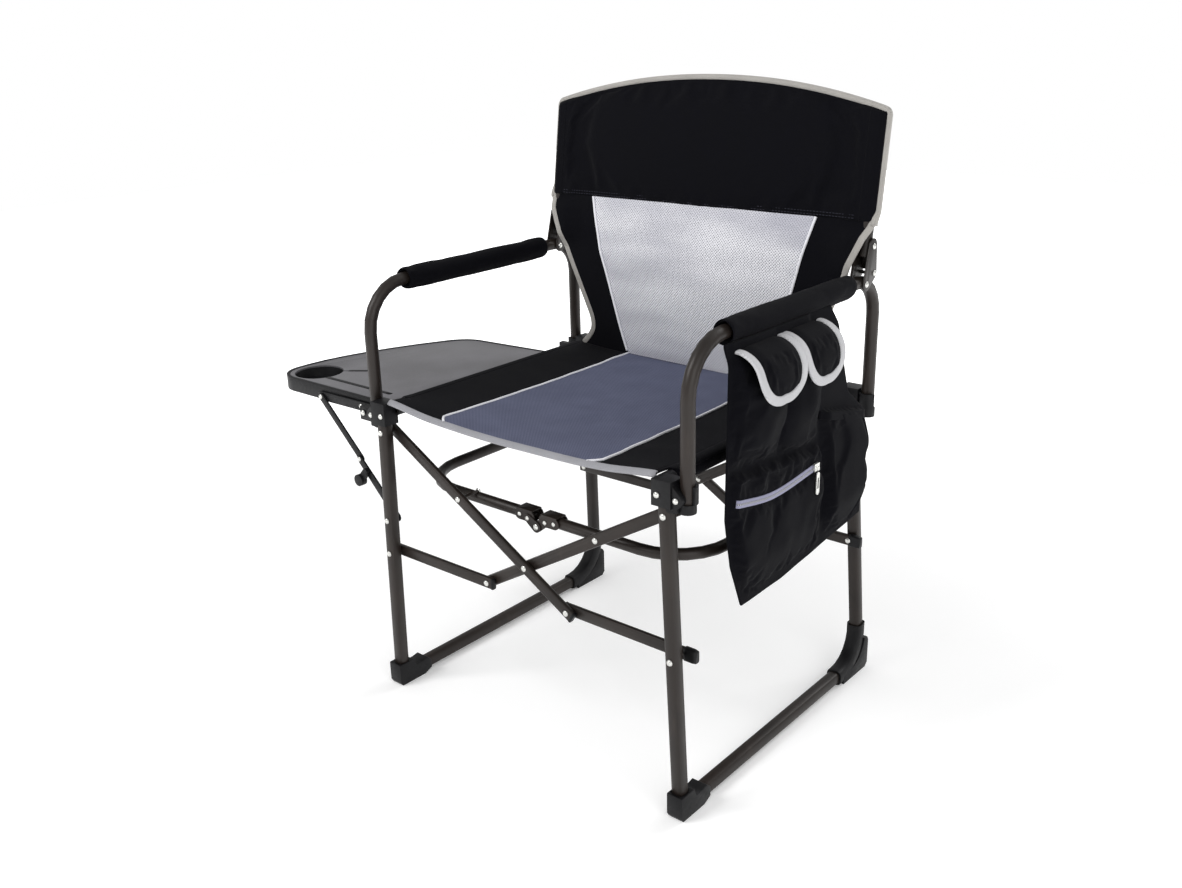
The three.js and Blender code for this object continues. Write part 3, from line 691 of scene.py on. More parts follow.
def build_rail_hem(side, sign):
    """The seat's hem: a lightly creased sleeve round one rail."""
    rings = []
    for y in spread(rail_low.y + 17, rail_high.y - 14.5, 40):
        ring = []
        for angle in circle_angles(24):
            crease = noise.noise(Vector((math.cos(angle) * 2, y * 0.05, sign))) * 0.35
            radius = HEM_RADIUS + crease
            x = sign * rail.x + radius * math.cos(angle)
            ring.append((x, y, rail.z + radius * math.sin(angle)))
        rings.append(ring)
    settle(loft(f"seat_rail_hem_{side}", rings, "black_flat"), f"{side}_side")


# ---------- back ----------
COVER_HALF = post_x + post_radius + 2.6
CENTRE_HALF = post_x - post_radius - 3
SLEEVE = post_radius + 2.4  # half the depth of the cover round a post
SEAM_HALF = 3.2  # half the depth of the cover at its outer seam
CROWN_Z = panel_high.z - 3
CROWN_RISE = 39.0
CORNER = 9.0
COVER_MIDDLE = 6.5  # half the depth of the cover between the posts
BRACKET_ROOM = 7.5  # how far the cloth comes forward over the brackets
WINDOW_FOOT, WINDOW_HALF_TOP = 457.0, 197.0
# Half the width of the back cloth at each height: flared at the seat, waisted above it, then
# widening evenly up to the band.
back_outline = [(452, 236), (490, 203), (530, 210), (704, COVER_HALF)]
# Depth of the back cloth at each height: it meets the seat, passes the hinge and joins the band.
back_profile = [(452, 424), (500, 419), (560, 413.5), (620, 411), (660, 415), (700, 422.5), (712, 425)]


def outer_edge(z):
    """Half the width of the back cloth below the band."""
    return interpolate(back_outline, z)


def mesh_half(z):
    """Half the width of the mesh window, which widens upwards."""
    return mix(PANEL_HALF_REAR, WINDOW_HALF_TOP, (z - WINDOW_FOOT) / (BAND_Z - WINDOW_FOOT))


def back_y(x, z):
    """Depth of the single cloth of the back. Near the posts it comes forward over the brackets."""
    middle = interpolate(back_profile, z)
    bracket = smooth((z - HINGE_Z) / 26) * (1 - smooth((z - 678) / 18))
    forward = BRACKET_ROOM * smooth((abs(x) - 215) / 42) * bracket
    folds = noise.noise(Vector((x * 0.006 + z * 0.004, z * 0.009 - x * 0.002, 1.0))) * 4.5
    free = smooth((230 - abs(x)) / 60) * smooth(abs(z - HINGE_Z) / 30)
    return middle - forward + folds * free


def crown(x):
    """Top edge of the back: a shallow arch with a small round corner over each post."""
    t = min(abs(x) / COVER_HALF, 1.0)
    corner = max(abs(x) - COVER_HALF + CORNER, 0) / CORNER
    return CROWN_Z - CROWN_RISE * t**2.1 - CORNER * (1 - math.sqrt(max(1 - corner**2, 0)))


def cover_half_depth(x, z):
    """Half the thickness of the double back cover: full round the posts, thin between them and
    along the top seam."""
    beyond = (abs(x) - post_x) / (COVER_HALF - post_x)
    if beyond > 0:
        depth = SLEEVE * math.sqrt(max(1 - beyond**2, 0))
    else:
        depth = mix(SLEEVE, COVER_MIDDLE, smooth((post_x - abs(x)) / 75))
    taper = mix(6, 26, smooth((post_x - abs(x) - 12) / 60))  # short above the posts' tips
    return mix(SEAM_HALF, depth, smooth((crown(x) - z - 2) / taper)) if depth > SEAM_HALF else depth


def cover_held(p):
    """The hem, the taped seam and the sleeves over the posts keep their line."""
    return p.z < BAND_Z + 4 or p.z > crown(p.x) - 9 or abs(p.x) > CENTRE_HALF - 8


def build_cover():
    """The upper back: a black double cover pulled over both posts."""
    columns = [COVER_HALF * math.sin(math.pi / 2 * t) for t in np.linspace(-1, 1, 121)]
    levels = [1 - (1 - t) ** 1.5 for t in np.linspace(0, 1, 40)]
    points = []
    for facing in (-1, 1):
        for level in levels:
            for x in columns:
                z = mix(BAND_Z, crown(x), level)
                points.append((x, post_y(z) + facing * cover_half_depth(x, z), z))
    count = len(columns)
    faces = grid_faces(count, len(levels))
    faces += grid_faces(count, len(levels), offset=count * len(levels))
    second = count * len(levels)
    faces += [(i, i + 1, second + i + 1, second + i) for i in range(count - 1)]
    cover = make_piece("back_cover", points, faces, "black_front")
    puff(cover, 4.0, pressure=2.0, slack=0.03, held=cover_held)
    keep_mesh(cover)
    parts = ("sleeve_left", "middle", "sleeve_right")
    left, middle, right = split(cover, "back_cover", CENTRE_HALF, parts)
    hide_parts("back_panel")
    gather(middle, "back_left")
    settle(left, "back_left")
    settle(right, "back_right")


STITCH_HALF_LENGTH, STITCH_HALF_HEIGHT, STITCH_LIFT = 1.7, 0.4, 0.35
STITCH_PITCH = 5.0


def build_band_hem():
    """Two rows of stitches above the lower hem of the black band."""
    corners = ((-1, -1), (1, -1), (1, 1), (-1, 1))
    for row, z in enumerate((BAND_Z + 5, BAND_Z + 9)):
        points, faces = [], []
        for x in np.arange(-CENTRE_HALF + 6, CENTRE_HALF - 6, STITCH_PITCH):
            y = post_y(z) - cover_half_depth(x, z) - 1.0
            first = len(points)
            for lift, long, high in ((0, 1, 1), (STITCH_LIFT, 0.7, 0.5)):
                for dx, dz in corners:
                    along_x = dx * STITCH_HALF_LENGTH * long
                    points.append((x + along_x, y - lift, z + dz * STITCH_HALF_HEIGHT * high))
            faces += [tuple(range(first, first + 4)), tuple(range(first + 4, first + 8))]
            faces += [
                (first + k, first + (k + 1) % 4, first + 4 + (k + 1) % 4, first + 4 + k)
                for k in range(4)
            ]
        stitches = make_piece(f"back_hem_stitches_{row + 1}", points, faces, "stitch_thread")
        gather(stitches, "back_left")


def back_surface(x_low, x_high, z_low, z_high):
    """A stretch of the back cloth; the x limits are functions of height."""

    def surface(u, v):
        z = mix(z_low, z_high, v)
        x = mix(x_low(z), x_high(z), u)
        if z_low < HINGE_Z:  # the lower stage starts on the slung seat
            z = mix(seat_z(x, seat_high.y) + 1, z_high, v)
            x = mix(x_low(z), x_high(z), u)
        return (x, back_y(x, z), z)

    return surface


def back_line(half, sign, low, high, forward):
    """A line up the back cloth at sign * half(z), a little in front of it."""
    return [(sign * half(z), back_y(sign * half(z), z) - forward, z) for z in spread(low, high, 50)]


def build_lower_back():
    """Mesh window, black side cloths, piping and binding, in two stages that meet at the hinge."""
    stages = (
        ("upper", HINGE_Z, BAND_Z + 2, "back_left", 20),
        ("lower", seat_edge_z, HINGE_Z, "left_side", 36),
    )
    for stage, low, high, body, rows in stages:
        surface = back_surface(lambda z: -mesh_half(z), mesh_half, low, high)
        window = sheet(f"back_mesh_{stage}", surface, 64, rows, "mesh_fabric", 1.4, hemmed=False)
        gather(window, body)
        if stage == "lower":
            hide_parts("lower_back_panel")
        for side, sign in SIDES:
            surface = back_surface(
                lambda z, s=sign: s * (mesh_half(z) - 0.5), lambda z, s=sign: s * outer_edge(z), low, high
            )
            name = f"{stage}_{side}"
            flank = sheet(f"back_flank_{name}", surface, 20, rows, "black_front", 2.4, hemmed=False)
            seam = back_line(mesh_half, sign, low, high, 2.0)
            piping = cord(f"back_piping_{name}", seam, PIPING_RADIUS, "white_cord")
            edge = back_line(outer_edge, sign, low, high, 0)
            tape = strip(f"back_binding_{name}", edge, (0, -1, 0.05), *BINDING, "warm_tape")
            for piece in (flank, piping, tape):
                gather(piece, body)


def build_crown_binding():
    """Tape folded over the cover's seam: up one post, over the crown and down the other post."""
    path, normals = [], []
    for x, z, slope in crown_stations():
        upright = smooth((abs(x) - COVER_HALF + CORNER) / CORNER)
        low_end = 1 - smooth((z - BAND_Z) / 16)
        y = post_y(z) + 2.5 * upright - low_end * 6
        path.append((x, y, z))
        normals.append((slope[0], 0, slope[1]))
    tape = strip("back_crown_binding", path, normals, 10.5, 7.5, "warm_tape", squareness=0.45)
    left, middle, right = split(tape, "back_crown_binding", CENTRE_HALF)
    gather(middle, "back_left")
    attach(left, "back_left")
    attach(right, "back_right")


def crown_stations():
    """Points (x, z) round the cover's outer seam, with the outward direction at each."""
    side_top = crown(COVER_HALF)
    stations = [(COVER_HALF - 0.5, mix(BAND_Z - 4, side_top, i / 30), (1, 0)) for i in range(30)]
    for i in range(121):
        angle = math.pi * i / 120
        x = COVER_HALF * math.cos(angle)
        lean = smooth((abs(x) - COVER_HALF + CORNER) / CORNER) * math.pi / 2
        outward = (math.copysign(math.sin(lean), x), math.cos(lean))
        stations.append((x - 0.5 * outward[0], crown(x) - 1.5 * outward[1], outward))
    stations += [(-x, z, (-1, 0)) for x, z, _ in reversed(stations[:30])]
    return stations


# ---------- arm pads ----------
PAD_GAP = 6.0  # room for the back's binding as it folds forward
bore_radius = arm_tube_radius + 0.6


def pad_radius(angle, y, tucked, sign):
    """Outer radius of a pad: a lapped strip underneath and faint dents, drawn in at both ends."""
    outer = arm_radius - 0.4
    lap = 1.4 * smooth((angle - 3.9) / 0.25) * (1 - smooth((angle - 5.1) / 0.5))
    dent = noise.noise(Vector((math.cos(angle), y * 0.02, sign + math.sin(angle)))) * 0.5
    return mix(outer - 0.8, outer + lap + dent, tucked)


def build_arm_pad(side, sign):
    """A padded sleeve closed under the arm by a lapped strip, open at both ends."""
    end = arm_high.y - PAD_GAP
    angles = circle_angles(44)
    around = len(angles)
    stations = []
    for t in spread(0, 1, 57):
        y = mix(arm_low.y, end, t)
        tucked = smooth(min(t, 1 - t) / 0.03)
        stations.append((y, [pad_radius(angle, y, tucked, sign) for angle in angles]))
    stations += [(y, [bore_radius] * around) for y in (end, arm_low.y)]
    points = [
        (sign * (arm.x + radius * math.cos(angle)), y, arm.z + radius * math.sin(angle))
        for y, radii in stations
        for angle, radius in zip(angles, radii)
    ]
    faces = grid_faces(around, len(stations), around=True)
    last = (len(stations) - 1) * around
    faces += [(last + k, last + (k + 1) % around, (k + 1) % around, k) for k in range(around)]
    pad = make_piece(f"arm_pad_cover_{side}", points, faces, "black_fabric")

    def on_bore(p):
        return math.hypot(p.x - sign * arm.x, p.z - arm.z) < bore_radius + 1.5

    puff(pad, 0.8, pressure=3.0, slack=0.03, held=on_bore)
    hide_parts(f"{side}_arm_pad")
    settle(pad, f"{side}_side")


# ---------- organiser ----------
ORGANISER_FOOT = 275.0
ORGANISER_TOP = 612.0
ORGANISER_INNER = 290.5
ORGANISER_FACE = 293.5
ZIP_DEPTH = 9.6  # how far the cloth under the zip stands out; the slider runs just above it
ZIP_END = 272.0  # depth at which the front pocket's cloth no longer follows the zip
ZIP_HELD_END, FOLD_HELD_END = 270.0, 276.0
ZIP_SPAN = (76, 262)
MOUTH_SPAN = (277, 392)
# Outlines in the organiser's plane: edges as (z, y) pairs, lines along it as (y, z) pairs.
organiser_front = [(268, 107), (336, 79), (400, 66), (612, 70)]
organiser_rear = [(280, 409), (443, 408), (485, 357), (612, 313)]
organiser_foot = [(107, 270), (196, 271), (409, 294)]
pocket_seam = [(290, 297), (420, 285), (507, 271), (612, 262)]
fold_line = [(70, 458), (276, 438)]
zip_line = [(70, 420), (155, 406), (262, 412)]
mouth_line = [(270, 482), (408, 449)]


def straight(table, key):
    """Straight-line interpolation in (key, value) pairs."""
    return float(np.interp(key, [row[0] for row in table], [row[1] for row in table]))


def ramp_up(value, width):
    return smooth(value / width)


def pocket_depth(y, z):
    """How far the organiser's pockets stand out from its backing."""
    seam = straight(pocket_seam, z)
    fold = straight(fold_line, y)
    floor = straight(organiser_foot, y)
    edge = ramp_up(y - straight(organiser_front, z) - 1, 16)
    if y < seam:
        sides = edge * ramp_up(seam - y, 16)
        if z < fold:
            return 11.5 * sides * ramp_up(z - floor - 2, 70) * ramp_up(fold - z, 13)
        middle = abs(math.sin(math.pi * (y - 78) / 98)) ** 0.7
        swell = mix(0.45, 1, middle) * (0.35 + 0.65 * ramp_up(z - fold, 70))
        return 22 * sides * swell * ramp_up(z - fold, 16) * (1 - 0.8 * ramp_up(z - 560, 40))
    mouth = straight(mouth_line, y)
    rear = straight(organiser_rear, z)
    if z > mouth:
        return 0.0
    lip = 0.55 + 0.45 * ramp_up(mouth - z, 50)
    return 14 * lip * ramp_up(y - seam, 18) * ramp_up(rear - y - 1, 16) * ramp_up(z - floor - 2, 60)


def organiser_skin(u, v, face):
    """A point on the organiser's inner (face 0) or outer (face 1) skin."""
    level = mix(ORGANISER_FOOT, ORGANISER_TOP, v)
    y = mix(straight(organiser_front, level), straight(organiser_rear, level), u)
    z = level + (straight(organiser_foot, y) - ORGANISER_FOOT) * (1 - v) ** 2
    tuck = 7.5 * smooth((z - 584) / 28)
    drape = noise.noise(Vector((y * 0.02, z * 0.011, 5.0))) * 1.6
    x = (ORGANISER_INNER, ORGANISER_FACE)[face] - tuck
    if face:
        calm = 0.3 if y > straight(pocket_seam, z) else 1
        crease = noise.noise(Vector((y * 0.035, z * 0.03, 9.0))) * calm
        depth = pocket_depth(y, z)
        at_zip = 1 - smooth((abs(z - interpolate(zip_line, y)) - 7) / 16) if y < ZIP_END else 0
        x += mix(depth * (1 + 0.16 * crease) + drape * 0.6, min(depth, ZIP_DEPTH), at_zip)
    return (x, y, z)


def closed_sheets(name, skin, columns, rows, material):
    """A closed solid between two grids of points that share their outline."""
    points = []
    for face in (0, 1):
        for k in range(rows):
            points += [skin(i / (columns - 1), k / (rows - 1), face) for i in range(columns)]
    second = columns * rows
    faces = grid_faces(columns, rows) + grid_faces(columns, rows, offset=second)
    bottom = list(range(columns))
    top = list(range(second - columns, second))
    left = list(range(0, second, columns))
    right = list(range(columns - 1, second, columns))
    for line in (bottom, top, left, right):
        faces += [(a, b, b + second, a + second) for a, b in zip(line, line[1:])]
    return make_piece(name, points, faces, material)


def organiser_held(p):
    """Seams, the zip and the backing keep their line while the pockets fill."""
    seam = abs(p.y - straight(pocket_seam, p.z)) < 5
    fold = abs(p.z - straight(fold_line, p.y)) < 4 and p.y < FOLD_HELD_END
    zipped = abs(p.z - interpolate(zip_line, p.y)) < 7 and p.y < ZIP_HELD_END
    front = p.y < straight(organiser_front, p.z) + 5
    rear = p.y > straight(organiser_rear, p.z) - 6
    foot = p.z < straight(organiser_foot, p.y) + 5
    return seam or fold or zipped or front or rear or foot or p.x < ORGANISER_FACE + 1


def build_organiser():
    body = closed_sheets("organiser_cloth", organiser_skin, 110, 112, "black_fabric")
    puff(body, 3.0, pressure=1.2, slack=0.05, held=organiser_held)
    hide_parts("organiser_body")
    settle(body, "right_side")
    build_zip()
    path = []
    for y in np.linspace(*MOUTH_SPAN, 30):
        z = straight(mouth_line, y) - 6
        path.append((ORGANISER_FACE + pocket_depth(y, z) + 0.6, y, z))
    hem = strip("organiser_pocket_hem", path, (1, 0, 0.15), 11, 2.6, "black_fabric", squareness=0.4)
    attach(hem, "right_side")


def build_zip():
    """Pale zip tape with a row of teeth, sewn along the front pocket."""
    tape_path = []
    for y in np.linspace(*ZIP_SPAN, 60):
        z = interpolate(zip_line, y)
        depth = min(pocket_depth(y, z), ZIP_DEPTH)
        tape_path.append((ORGANISER_FACE + depth + 1.1, y, z))
    tape = strip("zip_tape", tape_path, (1, 0, 0.1), 9.5, 1.8, "zip_tape", squareness=0.4)
    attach(tape, "right_side")
    teeth_path = [(x + 0.9, y, z) for x, y, z in tape_path]
    teeth = strip("zip_teeth", teeth_path, (1, 0, 0.1), 2.6, 1.0, "zip_teeth", squareness=0.5)
    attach(teeth, "right_side")


# ---------- organiser flaps ----------
FLAP_LINE = [(291, 600), (299, 599), (310, 594), (319, 585), (325, 571), (328, 554), (328, 536)]
FLAP_STRAIGHT = 0.6  # share of the flap's length above its rounded end
FLAP_HELD_ABOVE, FLAP_HELD_BELOW = 592, 550  # heights
FLAP_END = 0.985  # the cloth stops just short of the tip, under the trim
flap_x = [(i / (len(FLAP_LINE) - 1), x) for i, (x, z) in enumerate(FLAP_LINE)]
flap_z = [(i / (len(FLAP_LINE) - 1), z) for i, (x, z) in enumerate(FLAP_LINE)]


def flap_point(start, end, across, down, lift):
    """A point on a flap: across from -1 to 1, down from 0 at the hinge to 1 at its tip."""
    round_part = max(down - FLAP_STRAIGHT, 0) / (1 - FLAP_STRAIGHT)
    half = (end - start) / 2 * max(1 - round_part**2.4, 0) ** 0.5
    step = 0.01
    low, high = max(down - step, 0), min(down + step, 1)
    run = interpolate(flap_x, high) - interpolate(flap_x, low)
    drop = interpolate(flap_z, high) - interpolate(flap_z, low)
    outward = Vector((-drop, 0, run)).normalized()
    middle = Vector((interpolate(flap_x, down), (start + end) / 2, interpolate(flap_z, down)))
    return middle + Vector((0, across * half, 0)) + outward * lift


def build_flap(name, start, end):
    """A padded flap on the body of its name: a puffed cloth bound by a pale tape round its free
    edge, from one depth to another."""

    def skin(u, v, face):
        across = 2 * u - 1
        down = v * FLAP_END
        cushion = 2.6 * ramp_up(0.86 - abs(across), 0.4) * ramp_up(0.94 - down, 0.3)
        return flap_point(start, end, across, down, (-1.4, 1.4 + cushion)[face])

    middle = (start + end) / 2

    def bound(p):
        beside = abs(p.y - middle) > (end - start) * 0.36
        return beside or p.z > FLAP_HELD_ABOVE or p.z < FLAP_HELD_BELOW

    cloth = closed_sheets(f"{name}_cloth", skin, 34, 30, "black_fabric")
    puff(cloth, 1.5, pressure=2.0, slack=0.03, held=bound)
    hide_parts(f"organiser_{name}")
    settle(cloth, name)
    path, normals = [], []
    for t in np.linspace(-1, 1, 90):
        turn, across = abs(t), math.copysign(1, t)
        if turn > 0.5:
            down = FLAP_STRAIGHT * (1 - (turn - 0.5) / 0.5)
        else:
            down = FLAP_STRAIGHT + (1 - FLAP_STRAIGHT) * math.cos(turn / 0.5 * math.pi / 2)
        down = min(down, 1)
        edge = flap_point(start, end, across, down, 0)
        above = flap_point(start, end, across, down, 1)
        heart = flap_point(start, end, 0, down * 0.9, 0)
        inward = (heart - edge).normalized()
        path.append(edge + inward * 4.5 + (above - edge) * 1.2)
        normals.append(above - edge)
    trim = strip(f"{name}_trim", path, normals, 12, 4.4, "trim_tape", squareness=0.5)
    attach(trim, name)


# ---------- rivets ----------
FRONT_LEG = (9.0, 0.012)  # depth of the front leg's axis at the brace pivots, lean per mm
REAR_LEG = (456.0, 0.065)
LEG_HALF = 9.0
FLAT_HALF = 4.0  # half the thickness of a brace or link
NEAR_AXIS = 0.0001  # metres
PIVOT_Z, LINK_Z, SPREADER_Z = 416.0, 224.3, 339.3
LEG_X, LINK_X, TAIL_X, SPREADER_X = 250.0, 257.7, 73.6, 120.5
# Rivets of the mouldings, as (x, z) with the depths that their heads bear on
SEAT_SOCKET, LEG_SOCKET = (243, 443), (268, 440)
SOCKET_DEPTH = 8.0
FRONT_SOCKET, REAR_SOCKET = (0, 14.5), (450.5, 465)
BRACKET_RIVETS = ((431, 632), (426, 669))  # (y, z) in the back brackets
SPREADER_RIVETS = ((15, 329), (31, 331))  # (x, z) in the spreader's brackets
BRACKET_HALF = {"left": (11.8, 9.9), "right": (9.9, 9.9)}  # half the depth there
# Rivets of the table, as (x, z)
STRUT_TOP, BAR_END, STRUT_ELBOW = (-413, 435), (-322, 436), (-330, 353)
STRUT_FOOT, ROD_END = (-255.5, 278), (-295, 436)


def is_spacer(face, mesh, shanks, head, shank):
    """Whether a face lies on a shank between two heads, where a painted spacer covers the steel."""
    for start, end in shanks:
        low, high = at(*start), at(*end)
        axis = (high - low).normalized()
        reach = (high - low).length
        on_axis = [(mesh.vertices[i].co - low).dot(axis) for i in face.vertices]
        off_axis = [
            (mesh.vertices[i].co - low - axis * d).length / MM
            for i, d in zip(face.vertices, on_axis)
        ]
        if max(off_axis) < head:
            between = min(on_axis) > -NEAR_AXIS and max(on_axis) < reach + NEAR_AXIS
            return max(off_axis) < shank + 0.1 and between
    return False


def rivets(name, body, shanks, head=4.3, shank=2.4, around=20):
    """Round-headed rivets, each given by the two faces its heads bear on."""
    points, faces = [], []
    dome = [(1.0, 0.0), (1.0, 0.14), (0.88, 0.36), (0.6, 0.52), (0.22, 0.6)]
    for start, end in shanks:
        axis = (Vector(end) - Vector(start)).normalized()
        side = axis.orthogonal().normalized()
        up = axis.cross(side)
        length = (Vector(end) - Vector(start)).length
        profile = [(wide * head, -high * head) for wide, high in reversed(dome)]
        profile += [(shank, 0), (shank, length)]
        profile += [(wide * head, length + high * head) for wide, high in dome]
        first = len(points)
        for radius, reach in profile:
            for angle in circle_angles(around):
                offset = side * math.cos(angle) + up * math.sin(angle)
                points.append(Vector(start) + offset * radius + axis * reach)
        faces += grid_faces(around, len(profile), offset=first, around=True)
        faces.append(tuple(range(first, first + around)))
        faces.append(tuple(range(len(points) - around, len(points))))
    made = make_piece(name, points, faces, "bright_steel")
    made.data.materials.append(materials["bronze_paint"])
    for face in made.data.polygons:
        face.material_index = int(is_spacer(face, made.data, shanks, head, shank))
    settle(made, body)


def leg_face(leg, z, outward):
    """Depth of a leg's front (-1) or rear (+1) face at a height."""
    return leg[0] + leg[1] * (PIVOT_Z - z) + outward * LEG_HALF


def through(place, front, rear, sign=1):
    """The two ends of a rivet that runs from front to rear at a place (x, z)."""
    x, z = sign * place[0], place[1]
    return ((x, front, z), (x, rear, z))


def build_side_rivets(side, sign, depths):
    """Rivets through one side frame: legs, mouldings and back bracket."""
    pivots = (((LEG_X, PIVOT_Z), "brace"), ((LINK_X, LINK_Z), "link"))
    places = [
        through(
            place, leg_face(FRONT_LEG, place[1], -1), depths[f"front_{part}_{side}"] + FLAT_HALF, sign
        )
        for place, part in pivots
    ]
    places += [
        through(
            place, depths[f"rear_{part}_{side}"] - FLAT_HALF, leg_face(REAR_LEG, place[1], 1), sign
        )
        for place, part in pivots
    ]
    rivets(f"leg_rivets_{side}", f"{side}_side", places)
    front, rear = span(f"{side}_front_connector")[0].y, span(f"{side}_rear_connector")[1].y
    places = [
        through(SEAT_SOCKET, front, front + SOCKET_DEPTH, sign),
        through(LEG_SOCKET, *FRONT_SOCKET, sign),
        through(SEAT_SOCKET, rear - SOCKET_DEPTH, rear, sign),
        through(LEG_SOCKET, *REAR_SOCKET, sign),
    ]
    rivets(f"connector_rivets_{side}", f"{side}_side", places, head=4.0)
    low, high = span(f"{side}_back_bracket")
    places = [((low.x, y, z), (high.x, y, z)) for y, z in BRACKET_RIVETS]
    rivets(f"bracket_rivets_{side}", f"back_{side}", places, head=4.0)


def build_rivets():
    depths = {name: centre(name).y for name in nodes if "brace" in name or "link" in name}
    for side, sign in SIDES:
        build_side_rivets(side, sign, depths)
    near = depths["front_brace_left"] - FLAT_HALF
    far = depths["front_brace_right"] + FLAT_HALF
    inner = depths["rear_brace_right"] - FLAT_HALF
    rear_near = depths["rear_brace_left"] - FLAT_HALF
    outer = depths["rear_link_left"] + FLAT_HALF
    ring_front = centre("front_spreader_bracket_right").y
    ring_rear = centre("rear_spreader_bracket_right").y
    tail, spreader = (TAIL_X, LINK_Z), (SPREADER_X, SPREADER_Z)
    places = [
        through(tail, near, far),
        through(tail, rear_near, outer),
        through(spreader, near, ring_front, -1),
        through(spreader, ring_rear, rear_near + 2 * FLAT_HALF, -1),
    ]
    rivets("tail_rivets_left_brace", "brace_a", places)
    places = [
        through(tail, near, far, -1),
        through(tail, inner, outer, -1),
        through(spreader, far - 2 * FLAT_HALF, ring_front),
        through(spreader, ring_rear, inner + 2 * FLAT_HALF),
    ]
    rivets("tail_rivets_right_brace", "brace_b", places)
    for side, sign in SIDES:
        places = [
            through(place, ring - half, ring + half, sign)
            for ring in (ring_front, ring_rear)
            for place, half in zip(SPREADER_RIVETS, BRACKET_HALF[side])
        ]
        rivets(f"spreader_rivets_{side}", f"spreader_{side}", places, head=3.2, shank=1.8)
    build_table_rivets()


def build_table_rivets():
    bar_front, bar_rear = (corner.y for corner in span("table_front_bar"))
    upper_front, upper_rear = (corner.y for corner in span("table_strut_upper"))
    rod_front, rod_rear = (corner.y for corner in span("table_hinge_rod"))
    lower_front = span("table_strut_lower")[0].y
    places = [through(STRUT_TOP, upper_front, bar_rear), through(BAR_END, bar_front, bar_rear + 1)]
    rivets("table_rivets", "table", places, head=3.8)
    rivets("strut_rivets", "strut_lower", [through(STRUT_ELBOW, lower_front, upper_rear)], head=3.8)
    places = [
        through(STRUT_FOOT, leg_face(FRONT_LEG, STRUT_FOOT[1], -1), lower_front + 2.7),
        through(ROD_END, rod_front, rod_rear),
    ]
    rivets("table_frame_rivets", "left_side", places, head=4.2)


# ---------- end plugs ----------
BRACE_RUN = Vector((250, 0, -148)).normalized()  # along a left brace, downwards
TAIL_REACH = 9.0  # from a tail's rivet to the end of its tube
PLUG_REACH = 2.5  # how far a cap stands out
TAIL_CAP = (17, 8.2)  # width and thickness
LINK_CAP = (18.5, 9.5)
LINK_CAP_START, LINK_CAP_END = 259, 277


def end_plug(name, body, inside, outside, width, thickness):
    """A black plastic cap pushed over the end of a flat tube."""
    inside, outside, depth = Vector(inside), Vector(outside), Vector((0, 1, 0))
    up = depth.cross((outside - inside).normalized()).normalized()
    rings = []
    for t in spread(0, 1, 6):
        size = 1 - 0.12 * smooth((t - 0.72) / 0.28)
        ring = []
        for angle in circle_angles(24):
            a, b = rounded_corner(angle, width, thickness, squareness=0.4)
            ring.append(inside.lerp(outside, t) + up * (a * size) + depth * (b * size))
        rings.append(ring)
    settle(loft(name, rings, "black_plastic"), body)


def build_plugs():
    """Caps on the brace tails, on the links' inner ends and on the right links' outer ends."""
    for row in ("front", "rear"):
        for side, sign, brace_body in (("left", 1, "brace_a"), ("right", -1, "brace_b")):
            down = Vector((sign * BRACE_RUN.x, 0, BRACE_RUN.z))
            tail = Vector((sign * TAIL_X, centre(f"{row}_brace_{side}").y, LINK_Z)) + down * TAIL_REACH
            link_y = centre(f"{row}_link_{side}").y
            inward = Vector((sign, 0, 0))
            link_end = Vector((-sign * (TAIL_X - TAIL_REACH), link_y, LINK_Z))
            for part, body, end, step in (
                ("brace", brace_body, tail, down),
                ("link", f"links_{side}", link_end, inward),
            ):
                name = f"{row}_{part}_plug_{side}"
                end_plug(name, body, end - step, end + step * PLUG_REACH, *TAIL_CAP)
        start, end = (Vector((x, link_y, LINK_Z)) for x in (LINK_CAP_START, LINK_CAP_END))
        end_plug(f"{row}_link_cap_right", "links_right", start, end, *LINK_CAP)


# ---------- table ----------
CUP = (-484.0, 77.0)  # middle of the cup recess
GROOVE_WIDTH = 7.5
SHORT_GROOVE_TURN = 0.61  # radians
SHORT_GROOVE = (20.0, 57.0)  # where it starts and ends along that line
LONG_GROOVE_END = -299.0


def build_grooves():
    """Black strips in the two grooves of the table top: a painted shade that darkens the grooves."""
    floor = span("table_panel")[1].z + 0.1
    turn = Vector((math.cos(SHORT_GROOVE_TURN), math.sin(SHORT_GROOVE_TURN), 0))
    root = Vector((CUP[0] + 18, CUP[1] + 20, floor))
    long_start = Vector((CUP[0] + 36, CUP[1] - 12, floor))
    grooves = (
        ("long", long_start, Vector((LONG_GROOVE_END, long_start.y, floor))),
        ("short", root + turn * SHORT_GROOVE[0], root + turn * SHORT_GROOVE[1]),
    )
    for name, start, end in grooves:
        path = [start.lerp(end, i / 12) for i in range(13)]
        # painted shade: a thin black strip lies in each groove to darken it as its shade would
        groove_shade_strip = strip(f"table_groove_{name}", path, (0, 0, 1), GROOVE_WIDTH, 0.9, "black_plastic")
        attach(groove_shade_strip, "table")


# ---------- studio ----------
AMBIENT = 0.55  # strength of the white surroundings as light; the camera sees them as plain white


FLOOR_HALF = 6.0
LIGHTS = (  # name, place, power, size
    ("key", (-1.2, -2.4, 2.8), 62, 1.4),
    ("fill", (2.6, -1.4, 1.6), 26, 2.0),
    ("rim", (0.6, 2.4, 2.2), 34, 1.6),
)
LIT_POINT = Vector((0, 0, 0.45))


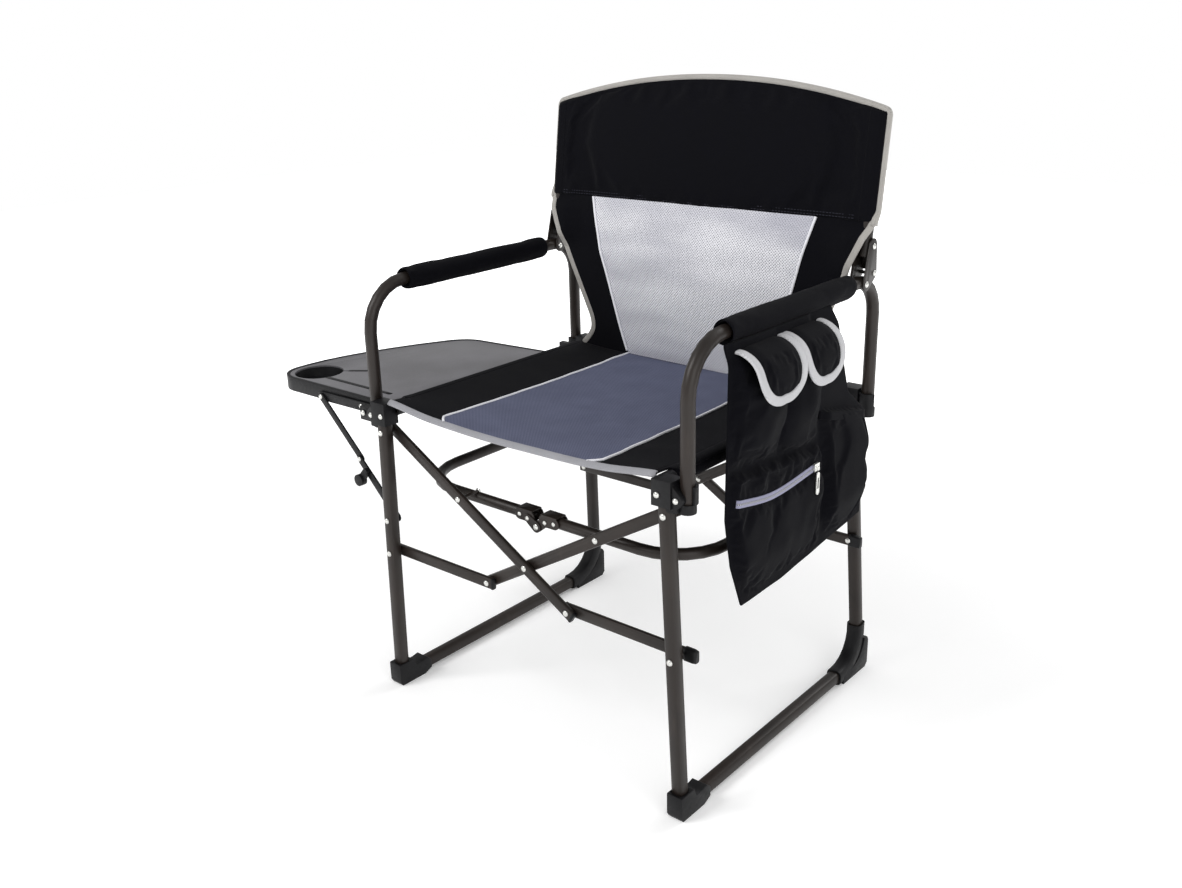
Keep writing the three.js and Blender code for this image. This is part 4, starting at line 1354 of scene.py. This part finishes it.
def build_studio():
    mesh = bpy.data.meshes.new("studio_floor")
    corners = [(-1, -1), (1, -1), (1, 1), (-1, 1)]
    mesh.from_pydata([(x * FLOOR_HALF, y * FLOOR_HALF, 0) for x, y in corners], [], [(0, 1, 2, 3)])
    floor = bpy.data.objects.new("studio_floor", mesh)
    bpy.context.scene.collection.objects.link(floor)
    mesh.materials.append(floor_paper())
    world = bpy.data.worlds.new("studio")
    world.use_nodes = True
    tree = world.node_tree
    seen_or_lit = tree.nodes.new("ShaderNodeMath")
    seen_or_lit.operation = "MULTIPLY_ADD"
    seen_or_lit.inputs[1].default_value = 1 - AMBIENT
    seen_or_lit.inputs[2].default_value = AMBIENT
    ray = tree.nodes.new("ShaderNodeLightPath")
    tree.links.new(ray.outputs["Is Camera Ray"], seen_or_lit.inputs[0])
    tree.nodes["Background"].inputs[0].default_value = (1, 1, 1, 1)
    tree.links.new(seen_or_lit.outputs[0], tree.nodes["Background"].inputs[1])
    bpy.context.scene.world = world
    for name, place, power, size in LIGHTS:
        light = bpy.data.lights.new(name, "AREA")
        light.energy = power
        light.size = size
        lamp = bpy.data.objects.new(name, light)
        lamp.location = place
        lamp.rotation_euler = (LIT_POINT - Vector(place)).to_track_quat("-Z", "Y").to_euler()
        bpy.context.scene.collection.objects.link(lamp)
    bpy.context.scene.view_settings.view_transform = "Standard"


CAMERA_PLACE = (999, -1002, 958)
CAMERA_TURNS = (40.5, 19.8, -1.5)  # azimuth, elevation and roll, in degrees


def build_camera():
    azimuth, elevation, roll = (math.radians(angle) for angle in CAMERA_TURNS)
    forward = Vector(
        (
            -math.sin(azimuth) * math.cos(elevation),
            math.cos(azimuth) * math.cos(elevation),
            -math.sin(elevation),
        )
    )
    data = bpy.data.cameras.new("camera")
    data.sensor_width = 36
    data.lens = 35.6
    camera = bpy.data.objects.new("camera", data)
    camera.location = at(*CAMERA_PLACE)
    camera.rotation_mode = "QUATERNION"
    camera.rotation_quaternion = forward.to_track_quat("-Z", "Y") @ Quaternion((0, 0, 1), roll)
    bpy.context.scene.collection.objects.link(camera)
    bpy.context.scene.camera = camera


build_seat()
build_cover()
build_band_hem()
build_lower_back()
build_crown_binding()
for side, sign in SIDES:
    build_arm_pad(side, sign)
build_organiser()
build_flap("flap_front", 84, 184)
build_flap("flap_rear", 186, 276)
build_rivets()
build_plugs()
build_grooves()
build_studio()
build_camera()
